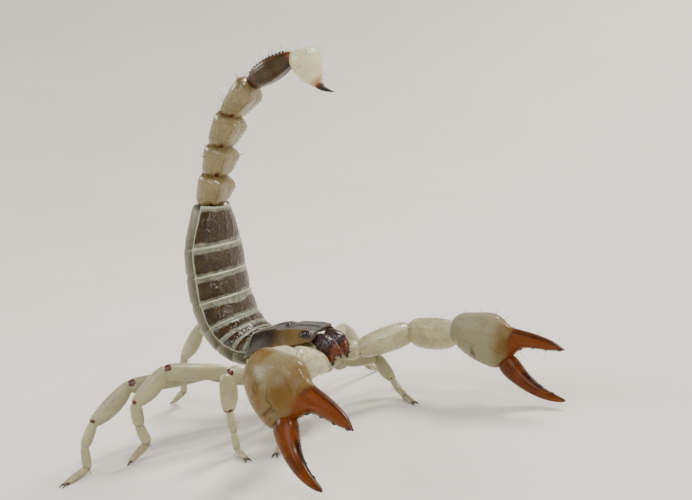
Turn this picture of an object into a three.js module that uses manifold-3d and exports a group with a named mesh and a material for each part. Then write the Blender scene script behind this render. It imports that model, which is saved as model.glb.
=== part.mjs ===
// A large-clawed desert scorpion, life size, in its raised-tail threat stance.
// Millimetres, +Z up. The animal faces -Y and its left side is +X. It stands on Z = 0.
import * as THREE from 'three';
import { mergeVertices } from 'three/addons/utils/BufferGeometryUtils.js';
import Module from 'manifold-3d';

const wasm = await Module();
wasm.setup();

// ---------------------------------------------------------------- driving dimensions

const gap = 0.3; // clear space between neighbouring pieces
const plate = 0.55; // thickness of a back plate

const carapace = {
  length: 7.9,
  frontHalfWidth: 2.75,
  rearHalfWidth: 4.05,
  midHeights: [9.6, 9.8, 9.9, 9.8, 9.6], // along the midline, from the front edge to the rear
  frontDrop: 1.0, // how far the side margins lie below the midline
  rearDrop: 2.2,
  rim: 0.5, // depth of the side margins
  frontNotch: 0.45,
};

// The body axis bends from level at the carapace to upright at the tail root. Each stretch of it
// has a length and a pitch above the backward direction, in degrees.
const trunkStart = { y: carapace.length / 2, z: 7.55 };
const trunk = [
  { length: 1.8, pitch: 16 },
  { length: 1.75, pitch: 38 },
  { length: 1.8, pitch: 58 },
  { length: 2.85, pitch: 76 },
  { length: 2.9, pitch: 90 },
  { length: 3.05, pitch: 93 },
  { length: 4.2, pitch: 100 },
];
const trunkHalfWidths = [3.9, 4.1, 4.25, 4.35, 4.4, 4.35, 4.15, 2.35];
const trunkUpDepths = [2.0, 1.95, 1.9, 1.95, 1.95, 1.95, 1.9, 1.6];
const trunkDownDepths = [1.7, 2.1, 2.45, 2.7, 2.8, 2.75, 2.5, 1.9];
const plateReach = 72; // how far a back plate wraps round the side, in degrees from the ridge

const tail = [
  { length: 3.35, pitch: 116, width: 4.0, depth: 3.5 },
  { length: 3.2, pitch: 114, width: 3.75, depth: 3.35 },
  { length: 3.55, pitch: 125, width: 3.6, depth: 3.15 },
  { length: 4.05, pitch: 140, width: 3.4, depth: 2.9 },
  { length: 5.75, pitch: 164, width: 2.8, depth: 2.4 },
];
const vesicle = { length: 3.9, pitch: 233, width: 3.0, depth: 3.0, sag: 0.35 };
const sting = { lengths: [0.75, 0.6, 0.5], pitches: [234, 216, 198], halfWidth: 0.42 };

// Legs, front pair first. Lengths run trochanter, femur, patella, tibia, basitarsus, tarsus.
const legLengths = [
  [1.4, 3.7, 3.1, 1.7, 1.5, 2.0],
  [2.2, 4.7, 3.3, 2.0, 1.8, 2.4],
  [2.8, 6.5, 4.2, 2.1, 1.9, 2.6],
  [3.2, 7.9, 4.9, 2.3, 2.1, 2.9],
];
const hips = [
  { x: 3.0, y: -2.3, z: 4.7, rise: 0 },
  { x: 3.9, y: -0.2, z: 5.5, rise: 20 },
  { x: 4.3, y: 2.4, z: 5.6, rise: 25 },
  { x: 4.2, y: 4.9, z: 5.6, rise: 21 },
];
const legScale = [0.9, 0.96, 1, 1];
const footHeight = 0.22; // height of the tarsus axis at its tip, which leaves a small flat below

// Headings are degrees from straight ahead towards the leg's own side: femur, patella, foot.
// Pitches are degrees above level: patella, tibia, basitarsus, tarsus. The femur's pitch follows.
const legStances = {
  left: [
    { headings: [58, -8, -38], pitches: [-57, -28, -18, -6] },
    { headings: [98, 92, 84], pitches: [-40, -65, -75, -22] },
    { headings: [118, 116, 112], pitches: [-22, -56, -72, -26] },
    { headings: [188, 180, 172], pitches: [-46, -68, -80, -30] },
  ],
  right: [
    { headings: [82, 82, 80], pitches: [-66, -82, -86, -20] },
    { headings: [100, 88, 31], pitches: [-80, -86, -92, -8] },
    { headings: [132, 127, 142], pitches: [-37, -89, -104, -38] },
    { headings: [133, 119, 92], pitches: [-33, -50, -86, -8] },
  ],
};

// Half width and half depth at stations along a run of segments, one unit to a segment.
const femurStations = [
  [0.05, 0.42, 0.6],
  [0.3, 0.6, 0.82],
  [0.8, 0.6, 0.8],
  [1.0, 0.5, 0.74],
  [1.15, 0.55, 0.85],
  [1.5, 0.6, 0.98],
  [1.82, 0.56, 0.92],
  [2.0, 0.42, 0.72],
];
const patellaStations = [
  [0.0, 0.4, 0.66],
  [0.14, 0.54, 0.86],
  [0.5, 0.58, 0.96],
  [0.82, 0.5, 0.8],
  [1.0, 0.4, 0.6],
];
const footStations = [
  [0.0, 0.38, 0.54],
  [0.3, 0.44, 0.64],
  [0.75, 0.42, 0.6],
  [1.0, 0.36, 0.5],
  [1.4, 0.4, 0.54],
  [1.8, 0.36, 0.5],
  [2.0, 0.3, 0.42],
  [2.4, 0.33, 0.42],
  [2.8, 0.28, 0.33],
  [3.0, 0.25, 0.25],
];

// Pincer arms. Angles are in degrees: heading from straight ahead towards the arm's own side,
// pitch above level, and the hand's roll, which turns the movable finger outwards and down.
const arm = {
  root: { x: 2.5, y: -3.9, z: 6.25 },
  trochanterLength: 1.8,
  femurLength: 6.3,
  patellaLength: 6.2,
  handLength: 13.0,
};
const armStances = {
  left: { trochanter: [35, -2], femur: [54, 4], patella: [-15, 3], hand: [-18, -6], roll: -88 },
  right: { trochanter: [40, 16], femur: [79, 19], patella: [87, 11], hand: [20, -17], roll: -59 },
};
const armTrochanterStations = [
  [0.08, 0.7, 0.75],
  [0.5, 1.0, 1.05],
  [1.0, 0.75, 0.8],
];
const armFemurStations = [
  [0.0, 0.62, 0.66],
  [0.14, 0.9, 0.86],
  [0.55, 1.12, 1.0],
  [0.86, 1.05, 1.0],
  [1.0, 0.7, 0.75],
];
const armPatellaStations = [
  [0.0, 0.7, 0.8, 0],
  [0.1, 1.15, 1.3, -0.15],
  [0.32, 1.45, 1.55, -0.3],
  [0.68, 1.47, 1.52, -0.35],
  [0.9, 1.3, 1.35, -0.3],
  [1.0, 0.95, 1.0, -0.2],
];
// The hand lies in the plane of its fingers: place along it, its edge away from the movable
// finger, its edge on that finger's side, and its half thickness.
const handStations = [
  [0.03, -0.7, 0.5, 0.6],
  [0.08, -1.6, 1.3, 1.35],
  [0.12, -2.1, 2.15, 1.85],
  [0.24, -2.15, 2.75, 2.1],
  [0.36, -2.05, 3.1, 2.0],
  [0.42, -1.95, 2.9, 1.65],
  [0.5, -1.75, 1.9, 1.1],
  [0.58, -1.5, 0.85, 0.85],
  [0.65, -1.35, 0.2, 0.75],
  [0.78, -0.98, -0.02, 0.57],
  [0.9, -0.58, 0.0, 0.36],
  [1.0, -0.12, 0.0, 0.1],
];
const finger = {
  baseAlong: 0.49, // share of the hand's length
  baseAside: 2.45,
  tipAlong: 0.975,
  tipAside: 4.9,
  bow: 0.75, // how far the middle of the finger bows away from the fixed finger
};
const fingerStations = [
  [0.0, 1.1, 0.85],
  [0.1, 1.18, 0.95],
  [0.25, 0.95, 0.85],
  [0.5, 0.68, 0.62],
  [0.78, 0.45, 0.42],
  [0.93, 0.26, 0.25],
  [1.0, 0.1, 0.1],
];

const eye = { radius: 0.34, apart: 0.36, y: 0.25, lift: 0.1 };
const sideEyes = { halfLength: 0.5, halfWidth: 0.22, x: 2.42, y: -2.95 };
const chelicera = { apart: 0.85, halfWidth: 0.68, halfDepth: 0.85, rootY: -4.15, rootZ: 8.05 };
const coxae = {
  hub: { y: 0.2, z: 5.7, halfWidth: 2.1, halfLength: 3.7, halfHeight: 1.15 },
  innerX: 0.7, // where the hip joints meet near the midline
  innerZ: 5.3,
  innerSpread: 0.62, // share of a hip's place along the body that is kept at the midline
  armInnerY: -1.6,
  legHalfWidth: 0.95,
  armHalfWidth: 1.15,
};
const comb = {
  length: 3.4,
  width: 0.75,
  thickness: 0.5,
  teeth: 10,
  toothLength: 0.65,
  sweep: 24, // how far the comb points backwards, in degrees
  droop: 22, // how far its toothed edge is raised along the belly
  root: { x: 0.45, y: 4.9, z: 4.7 },
};

// ---------------------------------------------------------------- materials

const colours = {
  shield: 0x8a6a35,
  plates: 0x3d2a1a,
  softSkin: 0xb9b79a,
  straw: 0xcdbb83,
  cream: 0xe6dfc4,
  dark: 0x4a1c0a,
  ivory: 0xd8cda0,
  horn: 0xb0561a,
  leg: 0xd5d2a4,
  eye: 0x08080a,
};

function cuticle(colour, roughness = 0.35) {
  return new THREE.MeshStandardMaterial({ color: colour, roughness, metalness: 0 });
}

// ---------------------------------------------------------------- geometry helpers

const scorpion = new THREE.Group();
const model = new THREE.Group();
scorpion.add(model);

function addPiece(name, geometry, colour, roughness) {
  const mesh = new THREE.Mesh(geometry, cuticle(colour, roughness));
  mesh.name = name;
  model.add(mesh);
}

/** Joins the vertices of a stock shape along its seams, so that it is one closed body. */
function weld(geometry) {
  geometry.deleteAttribute('normal');
  geometry.deleteAttribute('uv');
  return mergeVertices(geometry, 1e-4);
}

/** Moves every vertex of a stock shape with place(point), and welds the shape shut. */
function warp(geometry, place) {
  const position = geometry.getAttribute('position');
  const point = new THREE.Vector3();
  for (let i = 0; i < position.count; i += 1) {
    place(point.fromBufferAttribute(position, i));
    position.setXYZ(i, point.x, point.y, point.z);
  }
  return weld(geometry);
}

function toSolid(geometry) {
  const vertProperties = new Float32Array(geometry.getAttribute('position').array);
  const triVerts = new Uint32Array(geometry.index.array);
  return new wasm.Manifold(new wasm.Mesh({ numProp: 3, vertProperties, triVerts }));
}

function toGeometry(solid) {
  const mesh = solid.getMesh();
  const geometry = new THREE.BufferGeometry();
  geometry.setAttribute('position', new THREE.BufferAttribute(mesh.vertProperties, 3));
  geometry.setIndex(new THREE.BufferAttribute(mesh.triVerts, 1));
  return geometry;
}

function unite(geometries) {
  return toGeometry(geometries.map(toSolid).reduce((whole, solid) => whole.add(solid)));
}

/** Linear interpolation in a list of stations [at, value, value, ...]. */
function sizesAt(stations, at) {
  let next = stations.findIndex((station) => station[0] >= at - 1e-6);
  if (next < 0) next = stations.length - 1;
  const previous = Math.max(next - 1, 0);
  const [a, b] = [stations[previous], stations[next]];
  const share = next === previous ? 0 : (at - a[0]) / (b[0] - a[0]);
  return a.slice(1).map((value, i) => THREE.MathUtils.lerp(value, b[i + 1], share));
}

/** The value at a share 0..1 of a list of evenly spaced values. */
function valueAt(values, share) {
  return sizesAt(values.map((value, i) => [i / (values.length - 1), value]), share)[0];
}

/** Unit vector: heading from straight ahead (-Y) towards +X, and pitch above level, in degrees. */
function direction(heading, pitch) {
  const h = THREE.MathUtils.degToRad(heading);
  const p = THREE.MathUtils.degToRad(pitch);
  return new THREE.Vector3(Math.sin(h) * Math.cos(p), -Math.cos(h) * Math.cos(p), Math.sin(p));
}

/** Level vector square to a heading. Crossed with the heading's direction it points up. */
function levelSide(heading) {
  const h = THREE.MathUtils.degToRad(heading);
  return new THREE.Vector3(-Math.cos(h), -Math.sin(h), 0);
}

/**
 * A run of straight segments from joint to joint. Each bend { heading, pitch, length } adds one.
 * Neighbouring segments are mitred on the plane that halves the angle between them.
 */
function makeRun(start, bends) {
  const run = [];
  let joint = start.clone();
  for (const { heading, pitch, length } of bends) {
    const along = direction(heading, pitch);
    const side = levelSide(heading);
    const up = new THREE.Vector3().crossVectors(side, along);
    run.push({ start: joint, length, along, side, up });
    joint = joint.clone().addScaledVector(along, length);
  }
  run.forEach((segment, i) => {
    const before = run[i - 1] ?? segment;
    const after = run[i + 1] ?? segment;
    segment.startPlane = before.along.clone().add(segment.along).normalize();
    segment.endPlane = segment.along.clone().add(after.along).normalize();
  });
  return run;
}

/** A point of a run: at counts segments, across and high are measured square to the axis. */
function pointOnRun(run, at, across, high) {
  const index = Math.min(Math.floor(at + 1e-9), run.length - 1);
  const share = at - index;
  const { start, length, along, side, up, startPlane, endPlane } = run[index];
  const offset = side.clone().multiplyScalar(across).addScaledVector(up, high);
  const overhang = 0.5 * offset.length(); // the outer side of a bend stays rounded
  const startSlide = -offset.dot(startPlane) / along.dot(startPlane);
  const endSlide = -offset.dot(endPlane) / along.dot(endPlane);
  const slide = Math.max(startSlide, -overhang) * (1 - share) ** 2
    + Math.min(endSlide, overhang) * share ** 2;
  return offset.add(start).addScaledVector(along, share * length + slide);
}

/** Closed body along a run, from stations [at, half width, half depth, lift off the axis]. */
function limb(run, stations, sides = 10, first = 0, lowest = -Infinity) {
  const profile = stations.map(([at]) => new THREE.Vector2(1, at));
  profile.unshift(new THREE.Vector2(0, stations[0][0]));
  profile.push(new THREE.Vector2(0, stations[stations.length - 1][0]));
  return warp(new THREE.LatheGeometry(profile, sides), (point) => {
    const [halfWidth, halfDepth, lift = 0] = sizesAt(stations, point.y);
    const high = point.z * halfDepth + lift;
    const place = pointOnRun(run, first + point.y, point.x * halfWidth, high);
    place.z = Math.max(place.z, lowest);
    point.copy(place);
  });
}

/** Trims stations at both ends of a run's part by half of the clear gap. */
function trimmed(stations, startLength, endLength) {
  const first = stations[0][0];
  const last = stations[stations.length - 1][0];
  return stations.map(([at, ...sizes]) => {
    if (at === first) return [at + gap / 2 / startLength, ...sizes];
    if (at === last) return [at - gap / 2 / endLength, ...sizes];
    return [at, ...sizes];
  });
}

function scaled(stations, factor) {
  return stations.map(([at, ...sizes]) => [at, ...sizes.map((size) => size * factor)]);
}

const mirror = { left: 1, right: -1 };
const sideNames = Object.keys(mirror);

// ---------------------------------------------------------------- carapace and eyes

/** Height of the shield's top over a place (x, y). */
function shieldTop(x, y) {
  const share = y / carapace.length + 0.5;
  const halfWidth = shieldHalfWidth(share);
  const drop = THREE.MathUtils.lerp(carapace.frontDrop, carapace.rearDrop, share);
  return valueAt(carapace.midHeights, share) - drop * Math.min(Math.abs(x / halfWidth), 1) ** 2.2;
}

function shieldHalfWidth(share) {
  const { frontHalfWidth, rearHalfWidth } = carapace;
  return THREE.MathUtils.lerp(frontHalfWidth, rearHalfWidth, Math.sin(share * Math.PI / 2));
}

function makeCarapace() {
  const { length, rim, frontNotch } = carapace;
  const slab = new THREE.BoxGeometry(1, 1, 1, 10, 9, 1);
  return warp(slab, (point) => {
    const share = point.y + 0.5;
    const across = point.x * 2;
    const x = across * shieldHalfWidth(share);
    const y = (share - 0.5) * length;
    const edge = shieldTop(shieldHalfWidth(share), y) - rim;
    const notch = frontNotch * (1 - share) ** 4 * (1 - Math.abs(across));
    point.z = point.z > 0 ? shieldTop(x, y) : edge;
    point.x = x;
    point.y = y + notch;
  });
}

/** Half an ellipsoid that stands on the shield at (x, y). */
function makeEye(x, y, halfWidth, halfLength, height, lift) {
  const ball = new THREE.SphereGeometry(1, 10, 6).rotateX(Math.PI / 2);
  const base = shieldTop(x, y) + lift;
  return warp(ball, (point) => {
    const z = Math.max(point.z, 0) * height;
    point.set(x + point.x * halfWidth, y + point.y * halfLength, base + z);
  });
}

addPiece('carapace', makeCarapace(), colours.shield);
for (const sideName of sideNames) {
  const sign = mirror[sideName];
  const { radius, apart, y, lift } = eye;
  const median = makeEye(sign * apart, y, radius * 0.8, radius, radius, lift);
  addPiece(`eye_median_${sideName}`, median, colours.eye, 0.1);
  const { halfLength, halfWidth, x, y: sideY } = sideEyes;
  const lateral = makeEye(sign * x, sideY, halfWidth, halfLength, 0.3, 2.5 * lift);
  addPiece(`eyes_lateral_${sideName}`, lateral, colours.eye, 0.1);
}

// ---------------------------------------------------------------- jaws

function makeChelicera(sign) {
  const { apart, halfWidth, halfDepth, rootY, rootZ } = chelicera;
  const root = new THREE.Vector3(sign * apart, rootY, rootZ);
  const run = makeRun(root, [
    { heading: 0, pitch: -24, length: 1.4 },
    { heading: -4 * sign, pitch: -68, length: 1.7 },
  ]);
  const stations = [
    [0.0, 0.7 * halfWidth, 0.6 * halfDepth],
    [0.25, 0.95 * halfWidth, 0.9 * halfDepth],
    [0.7, halfWidth, halfDepth],
    [1.0, 0.85 * halfWidth, 0.85 * halfDepth],
    [1.5, 0.55 * halfWidth, 0.55 * halfDepth],
    [2.0, 0.2 * halfWidth, 0.2 * halfDepth],
  ];
  return limb(run, stations, 10);
}

for (const sideName of sideNames) {
  addPiece(`chelicera_${sideName}`, makeChelicera(mirror[sideName]), colours.dark, 0.25);
}

// ---------------------------------------------------------------- trunk

const backward = 180;
const trunkRoot = new THREE.Vector3(0, trunkStart.y, trunkStart.z);
const tailBends = [...tail, vesicle];
const spine = makeRun(trunkRoot, [...trunk, ...tailBends].map(({ length, pitch }) => (
  { heading: backward, pitch, length }
)));

spine[0].startPlane.set(0, 1, 0); // the first back plate meets the shield's upright rear edge

/** Half width, depth above the axis and depth below it, at counting trunk stretches. */
function trunkSizes(at) {
  const share = at / trunk.length;
  return [trunkHalfWidths, trunkUpDepths, trunkDownDepths].map((list) => valueAt(list, share));
}

function makeTergite(index) {
  const { length } = trunk[index];
  const slab = new THREE.BoxGeometry(1, 1, 1, 10, 3, 1);
  const reach = THREE.MathUtils.degToRad(plateReach);
  return warp(slab, (point) => {
    const at = index + 0.5 + point.y * (1 - gap / length);
    const [halfWidth, upDepth] = trunkSizes(at);
    const angle = 2 * point.x * reach;
    const inset = point.z > 0 ? 0 : plate;
    const across = (halfWidth - inset) * Math.sin(angle);
    const high = (upDepth - inset) * Math.cos(angle);
    point.copy(pointOnRun(spine, at, across, high));
  });
}

function makeBelly() {
  const inset = plate + gap;
  const steps = 2 * trunk.length;
  const profile = [new THREE.Vector2(0, gap / 2)];
  for (let i = 0; i <= steps; i += 1) {
    const at = THREE.MathUtils.clamp(i / 2, gap / 2, trunk.length - gap / 8);
    profile.push(new THREE.Vector2(1, at));
  }
  profile.push(new THREE.Vector2(0, trunk.length - gap / 8));
  return warp(new THREE.LatheGeometry(profile, 14), (point) => {
    const at = point.y;
    const [halfWidth, upDepth, downDepth] = trunkSizes(at);
    const turn = Math.atan2(point.x, point.z);
    const radius = Math.hypot(point.x, point.z);
    const depth = point.z > 0 ? upDepth - inset : downDepth;
    const across = radius * (halfWidth - inset) * Math.sign(point.x) * Math.abs(Math.sin(turn)) ** 0.8;
    point.copy(pointOnRun(spine, at, across, radius * depth * Math.cos(turn)));
  });
}

trunk.forEach((stretch, index) => {
  addPiece(`tergite_${index + 1}`, makeTergite(index), colours.plates);
});
addPiece('belly', makeBelly(), colours.softSkin, 0.5);

// ---------------------------------------------------------------- tail and sting

function makeTailSegment(index) {
  const { length, width, depth } = tail[index];
  const [halfWidth, halfDepth] = [width / 2, depth / 2];
  const stations = [
    [0.0, 0.74 * halfWidth, 0.76 * halfDepth],
    [0.12, 0.86 * halfWidth, 0.88 * halfDepth],
    [0.4, 0.97 * halfWidth, 0.97 * halfDepth],
    [0.75, halfWidth, halfDepth],
    [0.92, 0.93 * halfWidth, 0.95 * halfDepth],
    [1.0, 0.8 * halfWidth, 0.84 * halfDepth],
  ];
  return limb(spine, trimmed(stations, length, length), 12, trunk.length + index);
}

/** The venom bulb swells most on its outer side. */
function makeVesicle() {
  const { length, width, depth, sag } = vesicle;
  const [halfWidth, halfDepth] = [width / 2, depth / 2];
  const stations = [
    [0.0, 0.38 * halfWidth, 0.36 * halfDepth, 0],
    [0.1, 0.66 * halfWidth, 0.62 * halfDepth, -0.5 * sag],
    [0.28, 0.96 * halfWidth, 0.93 * halfDepth, -sag],
    [0.5, halfWidth, halfDepth, -sag],
    [0.72, 0.84 * halfWidth, 0.82 * halfDepth, -0.7 * sag],
    [0.9, 0.55 * halfWidth, 0.52 * halfDepth, -0.2 * sag],
    [1.0, 0.34 * halfWidth, 0.34 * halfDepth, 0],
  ];
  return limb(spine, trimmed(stations, length, length), 12, trunk.length + tail.length);
}

/** The sting goes on from the vesicle and hooks outwards at its tip. */
function makeSting() {
  const { lengths, pitches, halfWidth } = sting;
  const root = pointOnRun(spine, spine.length, 0, 0);
  const run = makeRun(root, lengths.map((length, i) => (
    { heading: backward, pitch: pitches[i], length }
  )));
  const stations = [
    [gap / 2, 1.15 * halfWidth, 1.15 * halfWidth],
    [1.0, 0.8 * halfWidth, 0.8 * halfWidth],
    [2.0, 0.5 * halfWidth, 0.5 * halfWidth],
    [3.0, 0.15 * halfWidth, 0.15 * halfWidth],
  ];
  return limb(run, stations, 8);
}

tail.forEach((segment, index) => {
  addPiece(`tail_segment_${index + 1}`, makeTailSegment(index), colours.straw);
});
addPiece('telson_vesicle', makeVesicle(), colours.cream);
addPiece('telson_sting', makeSting(), colours.dark, 0.2);

// ---------------------------------------------------------------- legs

function makeLeg(sideName, index) {
  const sign = mirror[sideName];
  const { x, y, z, rise } = hips[index];
  const { headings, pitches } = legStances[sideName][index];
  const [trochanter, femur, patella, tibia, basitarsus, tarsus] = legLengths[index];
  const footLengths = [tibia, basitarsus, tarsus];
  const rad = THREE.MathUtils.degToRad;

  // The femur's pitch brings the tip of the tarsus down to the floor.
  const lower = [patella, ...footLengths].map((length, i) => length * Math.sin(rad(pitches[i])));
  const fall = lower.reduce((sum, drop) => sum + drop, 0);
  const kneeRise = footHeight - z - trochanter * Math.sin(rad(rise)) - fall;
  const femurPitch = THREE.MathUtils.radToDeg(Math.asin(kneeRise / femur));

  const [femurHeading, patellaHeading, footHeading] = headings.map((heading) => sign * heading);
  const run = makeRun(new THREE.Vector3(sign * x, y, z), [
    { heading: femurHeading, pitch: rise, length: trochanter },
    { heading: femurHeading, pitch: femurPitch, length: femur },
    { heading: patellaHeading, pitch: pitches[0], length: patella },
    ...footLengths.map((length, i) => ({ heading: footHeading, pitch: pitches[i + 1], length })),
  ]);
  const size = legScale[index];
  const name = `leg_${sideName}_${index + 1}`;
  const femurPart = trimmed(scaled(femurStations, size), trochanter, femur);
  const patellaPart = trimmed(scaled(patellaStations, size), patella, patella);
  const footPart = trimmed(scaled(footStations, size), tibia, tarsus);
  addPiece(`${name}_femur`, limb(run, femurPart, 8, 0), colours.leg);
  addPiece(`${name}_patella`, limb(run, patellaPart, 8, 2), colours.leg);
  addPiece(`${name}_foot`, limb(run, footPart, 6, 3, 0), colours.leg);
}

for (const sideName of sideNames) {
  hips.forEach((hip, index) => makeLeg(sideName, index));
}

// ---------------------------------------------------------------- pincer arms

function makeArm(sideName) {
  const sign = mirror[sideName];
  const { root, trochanterLength, femurLength, patellaLength, handLength } = arm;
  const stance = armStances[sideName];
  const bend = ([heading, pitch], length) => ({ heading: sign * heading, pitch, length });
  const run = makeRun(new THREE.Vector3(sign * root.x, root.y, root.z), [
    bend(stance.trochanter, trochanterLength),
    bend(stance.femur, femurLength),
    bend(stance.patella, patellaLength),
    bend(stance.hand, handLength),
  ]);
  const name = `arm_${sideName}`;
  const pieces = [
    ['trochanter', armTrochanterStations, trochanterLength],
    ['femur', armFemurStations, femurLength],
    ['patella', armPatellaStations, patellaLength],
  ];
  pieces.forEach(([piece, stations, length], index) => {
    const geometry = limb(run, trimmed(stations, length, length), 12, index);
    addPiece(`${name}_${piece}`, geometry, colours.ivory);
  });

  // The hand's own frame: along it, towards the movable finger, and square to both.
  const { start, along, side, up } = run[3];
  const roll = THREE.MathUtils.degToRad(stance.roll);
  const outward = side.clone().multiplyScalar(-sign * Math.cos(roll));
  outward.addScaledVector(up, Math.sin(roll));
  const thick = new THREE.Vector3().crossVectors(outward, along);
  const inHand = (forward, aside, high) => start.clone()
    .addScaledVector(along, forward)
    .addScaledVector(outward, aside)
    .addScaledVector(thick, high);
  addPiece(`${name}_hand`, makeHand(inHand), colours.ivory);
  addPiece(`${name}_finger`, makeFinger(inHand), colours.horn, 0.3);
}

function makeHand(inHand) {
  const profile = handStations.map(([at]) => new THREE.Vector2(1, at));
  profile.unshift(new THREE.Vector2(0, handStations[0][0]));
  profile.push(new THREE.Vector2(0, 1));
  return warp(new THREE.LatheGeometry(profile, 14), (point) => {
    const [inner, outer, halfDepth] = sizesAt(handStations, point.y);
    const aside = (inner + outer) / 2 + point.x * (outer - inner) / 2;
    point.copy(inHand(point.y * arm.handLength, aside, point.z * halfDepth));
  });
}

function makeFinger(inHand) {
  const { baseAlong, baseAside, tipAlong, tipAside, bow } = finger;
  const base = new THREE.Vector2(baseAlong * arm.handLength, baseAside);
  const tip = new THREE.Vector2(tipAlong * arm.handLength, tipAside);
  const middle = base.clone().lerp(tip, 0.5);
  const across = tip.clone().sub(base).normalize();
  middle.add(new THREE.Vector2(-across.y, across.x).multiplyScalar(2 * bow));
  const axis = new THREE.QuadraticBezierCurve(base, middle, tip);
  const profile = fingerStations.map(([at]) => new THREE.Vector2(1, at));
  profile.unshift(new THREE.Vector2(0, 0));
  profile.push(new THREE.Vector2(0, 1));
  return warp(new THREE.LatheGeometry(profile, 10), (point) => {
    const [halfWidth, halfDepth] = sizesAt(fingerStations, point.y);
    const centre = axis.getPoint(point.y);
    const tangent = axis.getTangent(point.y);
    const shift = point.x * halfWidth;
    const [forward, aside] = [centre.x - shift * tangent.y, centre.y + shift * tangent.x];
    point.copy(inHand(forward, aside, point.z * halfDepth));
  });
}

for (const sideName of sideNames) makeArm(sideName);

// ---------------------------------------------------------------- underside

/** One hip joint: a bar from near the midline to the hip. */
function makeCoxa(sign, hip, innerY, halfWidth) {
  const from = new THREE.Vector3(sign * coxae.innerX, innerY, coxae.innerZ);
  const aim = new THREE.Vector3(sign * hip.x, hip.y, hip.z).sub(from);
  const length = aim.length() - gap;
  const heading = THREE.MathUtils.radToDeg(Math.atan2(aim.x, -aim.y));
  const pitch = THREE.MathUtils.radToDeg(Math.asin(aim.z / aim.length()));
  const stations = [
    [0.0, 0.55 * halfWidth, 0.7 * halfWidth],
    [0.5, 0.8 * halfWidth, 0.95 * halfWidth],
    [0.85, 0.8 * halfWidth, 0.9 * halfWidth],
    [1.0, 0.55 * halfWidth, 0.6 * halfWidth],
  ];
  return limb(makeRun(from, [{ heading, pitch, length }]), stations, 8);
}

/** The hip joints of legs and arms meet under the shield as one fused plate. */
function makeCoxalPlate() {
  const { hub, innerSpread, armInnerY, legHalfWidth, armHalfWidth } = coxae;
  const middlePart = new THREE.SphereGeometry(1, 12, 6);
  middlePart.scale(hub.halfWidth, hub.halfLength, hub.halfHeight).translate(0, hub.y, hub.z);
  const parts = [weld(middlePart)];
  for (const sideName of sideNames) {
    const sign = mirror[sideName];
    for (const hip of hips) {
      parts.push(makeCoxa(sign, hip, innerSpread * hip.y, legHalfWidth));
    }
    parts.push(makeCoxa(sign, arm.root, armInnerY, armHalfWidth));
  }
  return unite(parts);
}

/** One comb: a tapering spine with a row of teeth along its rear edge, under the trunk's root. */
function makeComb(sign) {
  const { length, width, thickness, teeth, toothLength, sweep, droop, root } = comb;
  const outline = new THREE.Shape();
  const lineTo = (x, y) => outline.lineTo(sign * x, y);
  outline.moveTo(0, -width);
  lineTo(0.6 * length, -width);
  lineTo(length, -0.4 * width);
  const pitch = length / teeth;
  for (let i = 0; i < teeth; i += 1) {
    const outer = length - i * pitch;
    const reach = toothLength * (0.6 + 0.4 * i / teeth);
    lineTo(outer, 0);
    lineTo(outer - 0.15 * pitch, reach);
    lineTo(outer - 0.65 * pitch, reach);
    lineTo(outer - 0.8 * pitch, 0);
  }
  lineTo(0, 0);
  outline.closePath();
  const blade = new THREE.ExtrudeGeometry(outline, { depth: thickness, bevelEnabled: false });
  const rad = THREE.MathUtils.degToRad;
  blade.rotateZ(rad(sign * sweep)).rotateX(rad(droop));
  const place = new THREE.Vector3(sign * root.x, root.y, root.z);
  return warp(blade, (point) => point.add(place));
}

addPiece('coxal_plate', makeCoxalPlate(), colours.softSkin, 0.4);
for (const sideName of sideNames) {
  addPiece(`comb_${sideName}`, makeComb(mirror[sideName]), colours.ivory, 0.5);
}

// The origin is the middle of the footprint, at floor level.
const bounds = new THREE.Box3().setFromObject(model);
const middle = bounds.getCenter(new THREE.Vector3());
model.position.set(-middle.x, -middle.y, 0);

export default scorpion;
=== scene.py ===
"""A life-size still model of a large-clawed desert scorpion, reared up with its tail curled over.

The animal faces -Y, its left side is +X and it stands on Z = 0. Numbers for its body are in
millimetres, measured from under the middle of the head shield, and are scaled by MM when made.
"""
import math
import random

import bpy
import numpy as np
from bpy.props import FloatProperty, FloatVectorProperty, IntProperty, PointerProperty
from mathutils import Matrix, Vector


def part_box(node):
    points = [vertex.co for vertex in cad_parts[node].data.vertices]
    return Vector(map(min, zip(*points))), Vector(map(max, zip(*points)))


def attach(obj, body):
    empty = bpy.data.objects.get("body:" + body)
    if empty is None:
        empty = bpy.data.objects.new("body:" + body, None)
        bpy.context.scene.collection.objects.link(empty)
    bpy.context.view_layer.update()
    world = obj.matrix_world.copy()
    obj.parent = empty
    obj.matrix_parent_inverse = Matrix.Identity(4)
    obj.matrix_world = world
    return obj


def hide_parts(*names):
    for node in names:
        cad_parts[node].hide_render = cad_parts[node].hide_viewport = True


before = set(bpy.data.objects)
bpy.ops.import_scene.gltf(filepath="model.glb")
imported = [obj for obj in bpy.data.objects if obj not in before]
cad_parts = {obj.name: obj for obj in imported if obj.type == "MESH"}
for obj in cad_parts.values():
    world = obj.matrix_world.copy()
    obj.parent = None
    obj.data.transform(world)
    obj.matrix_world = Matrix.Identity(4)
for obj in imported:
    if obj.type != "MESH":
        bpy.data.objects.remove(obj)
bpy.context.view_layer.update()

bl_info = {
    "name": "Desert scorpion",
    "version": (1, 0, 0),
    "blender": (4, 5, 0),
    "location": "3D View > Sidebar > Scorpion",
    "description": "Builds a life-size scorpion in its threat stance, piece by piece",
    "category": "Add Mesh",
}

MM = 0.001
MIRROR = {"left": 1, "right": -1}
SHIELD_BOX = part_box("carapace")
ORIGIN = np.array([  # on the floor, under the middle of the head shield
    (SHIELD_BOX[0].x + SHIELD_BOX[1].x) / 2,
    (SHIELD_BOX[0].y + SHIELD_BOX[1].y) / 2,
    0.0,
])
ORIGIN_MM = ORIGIN / MM

# ------------------------------------------------------------------ proportions and stance, mm

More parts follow.
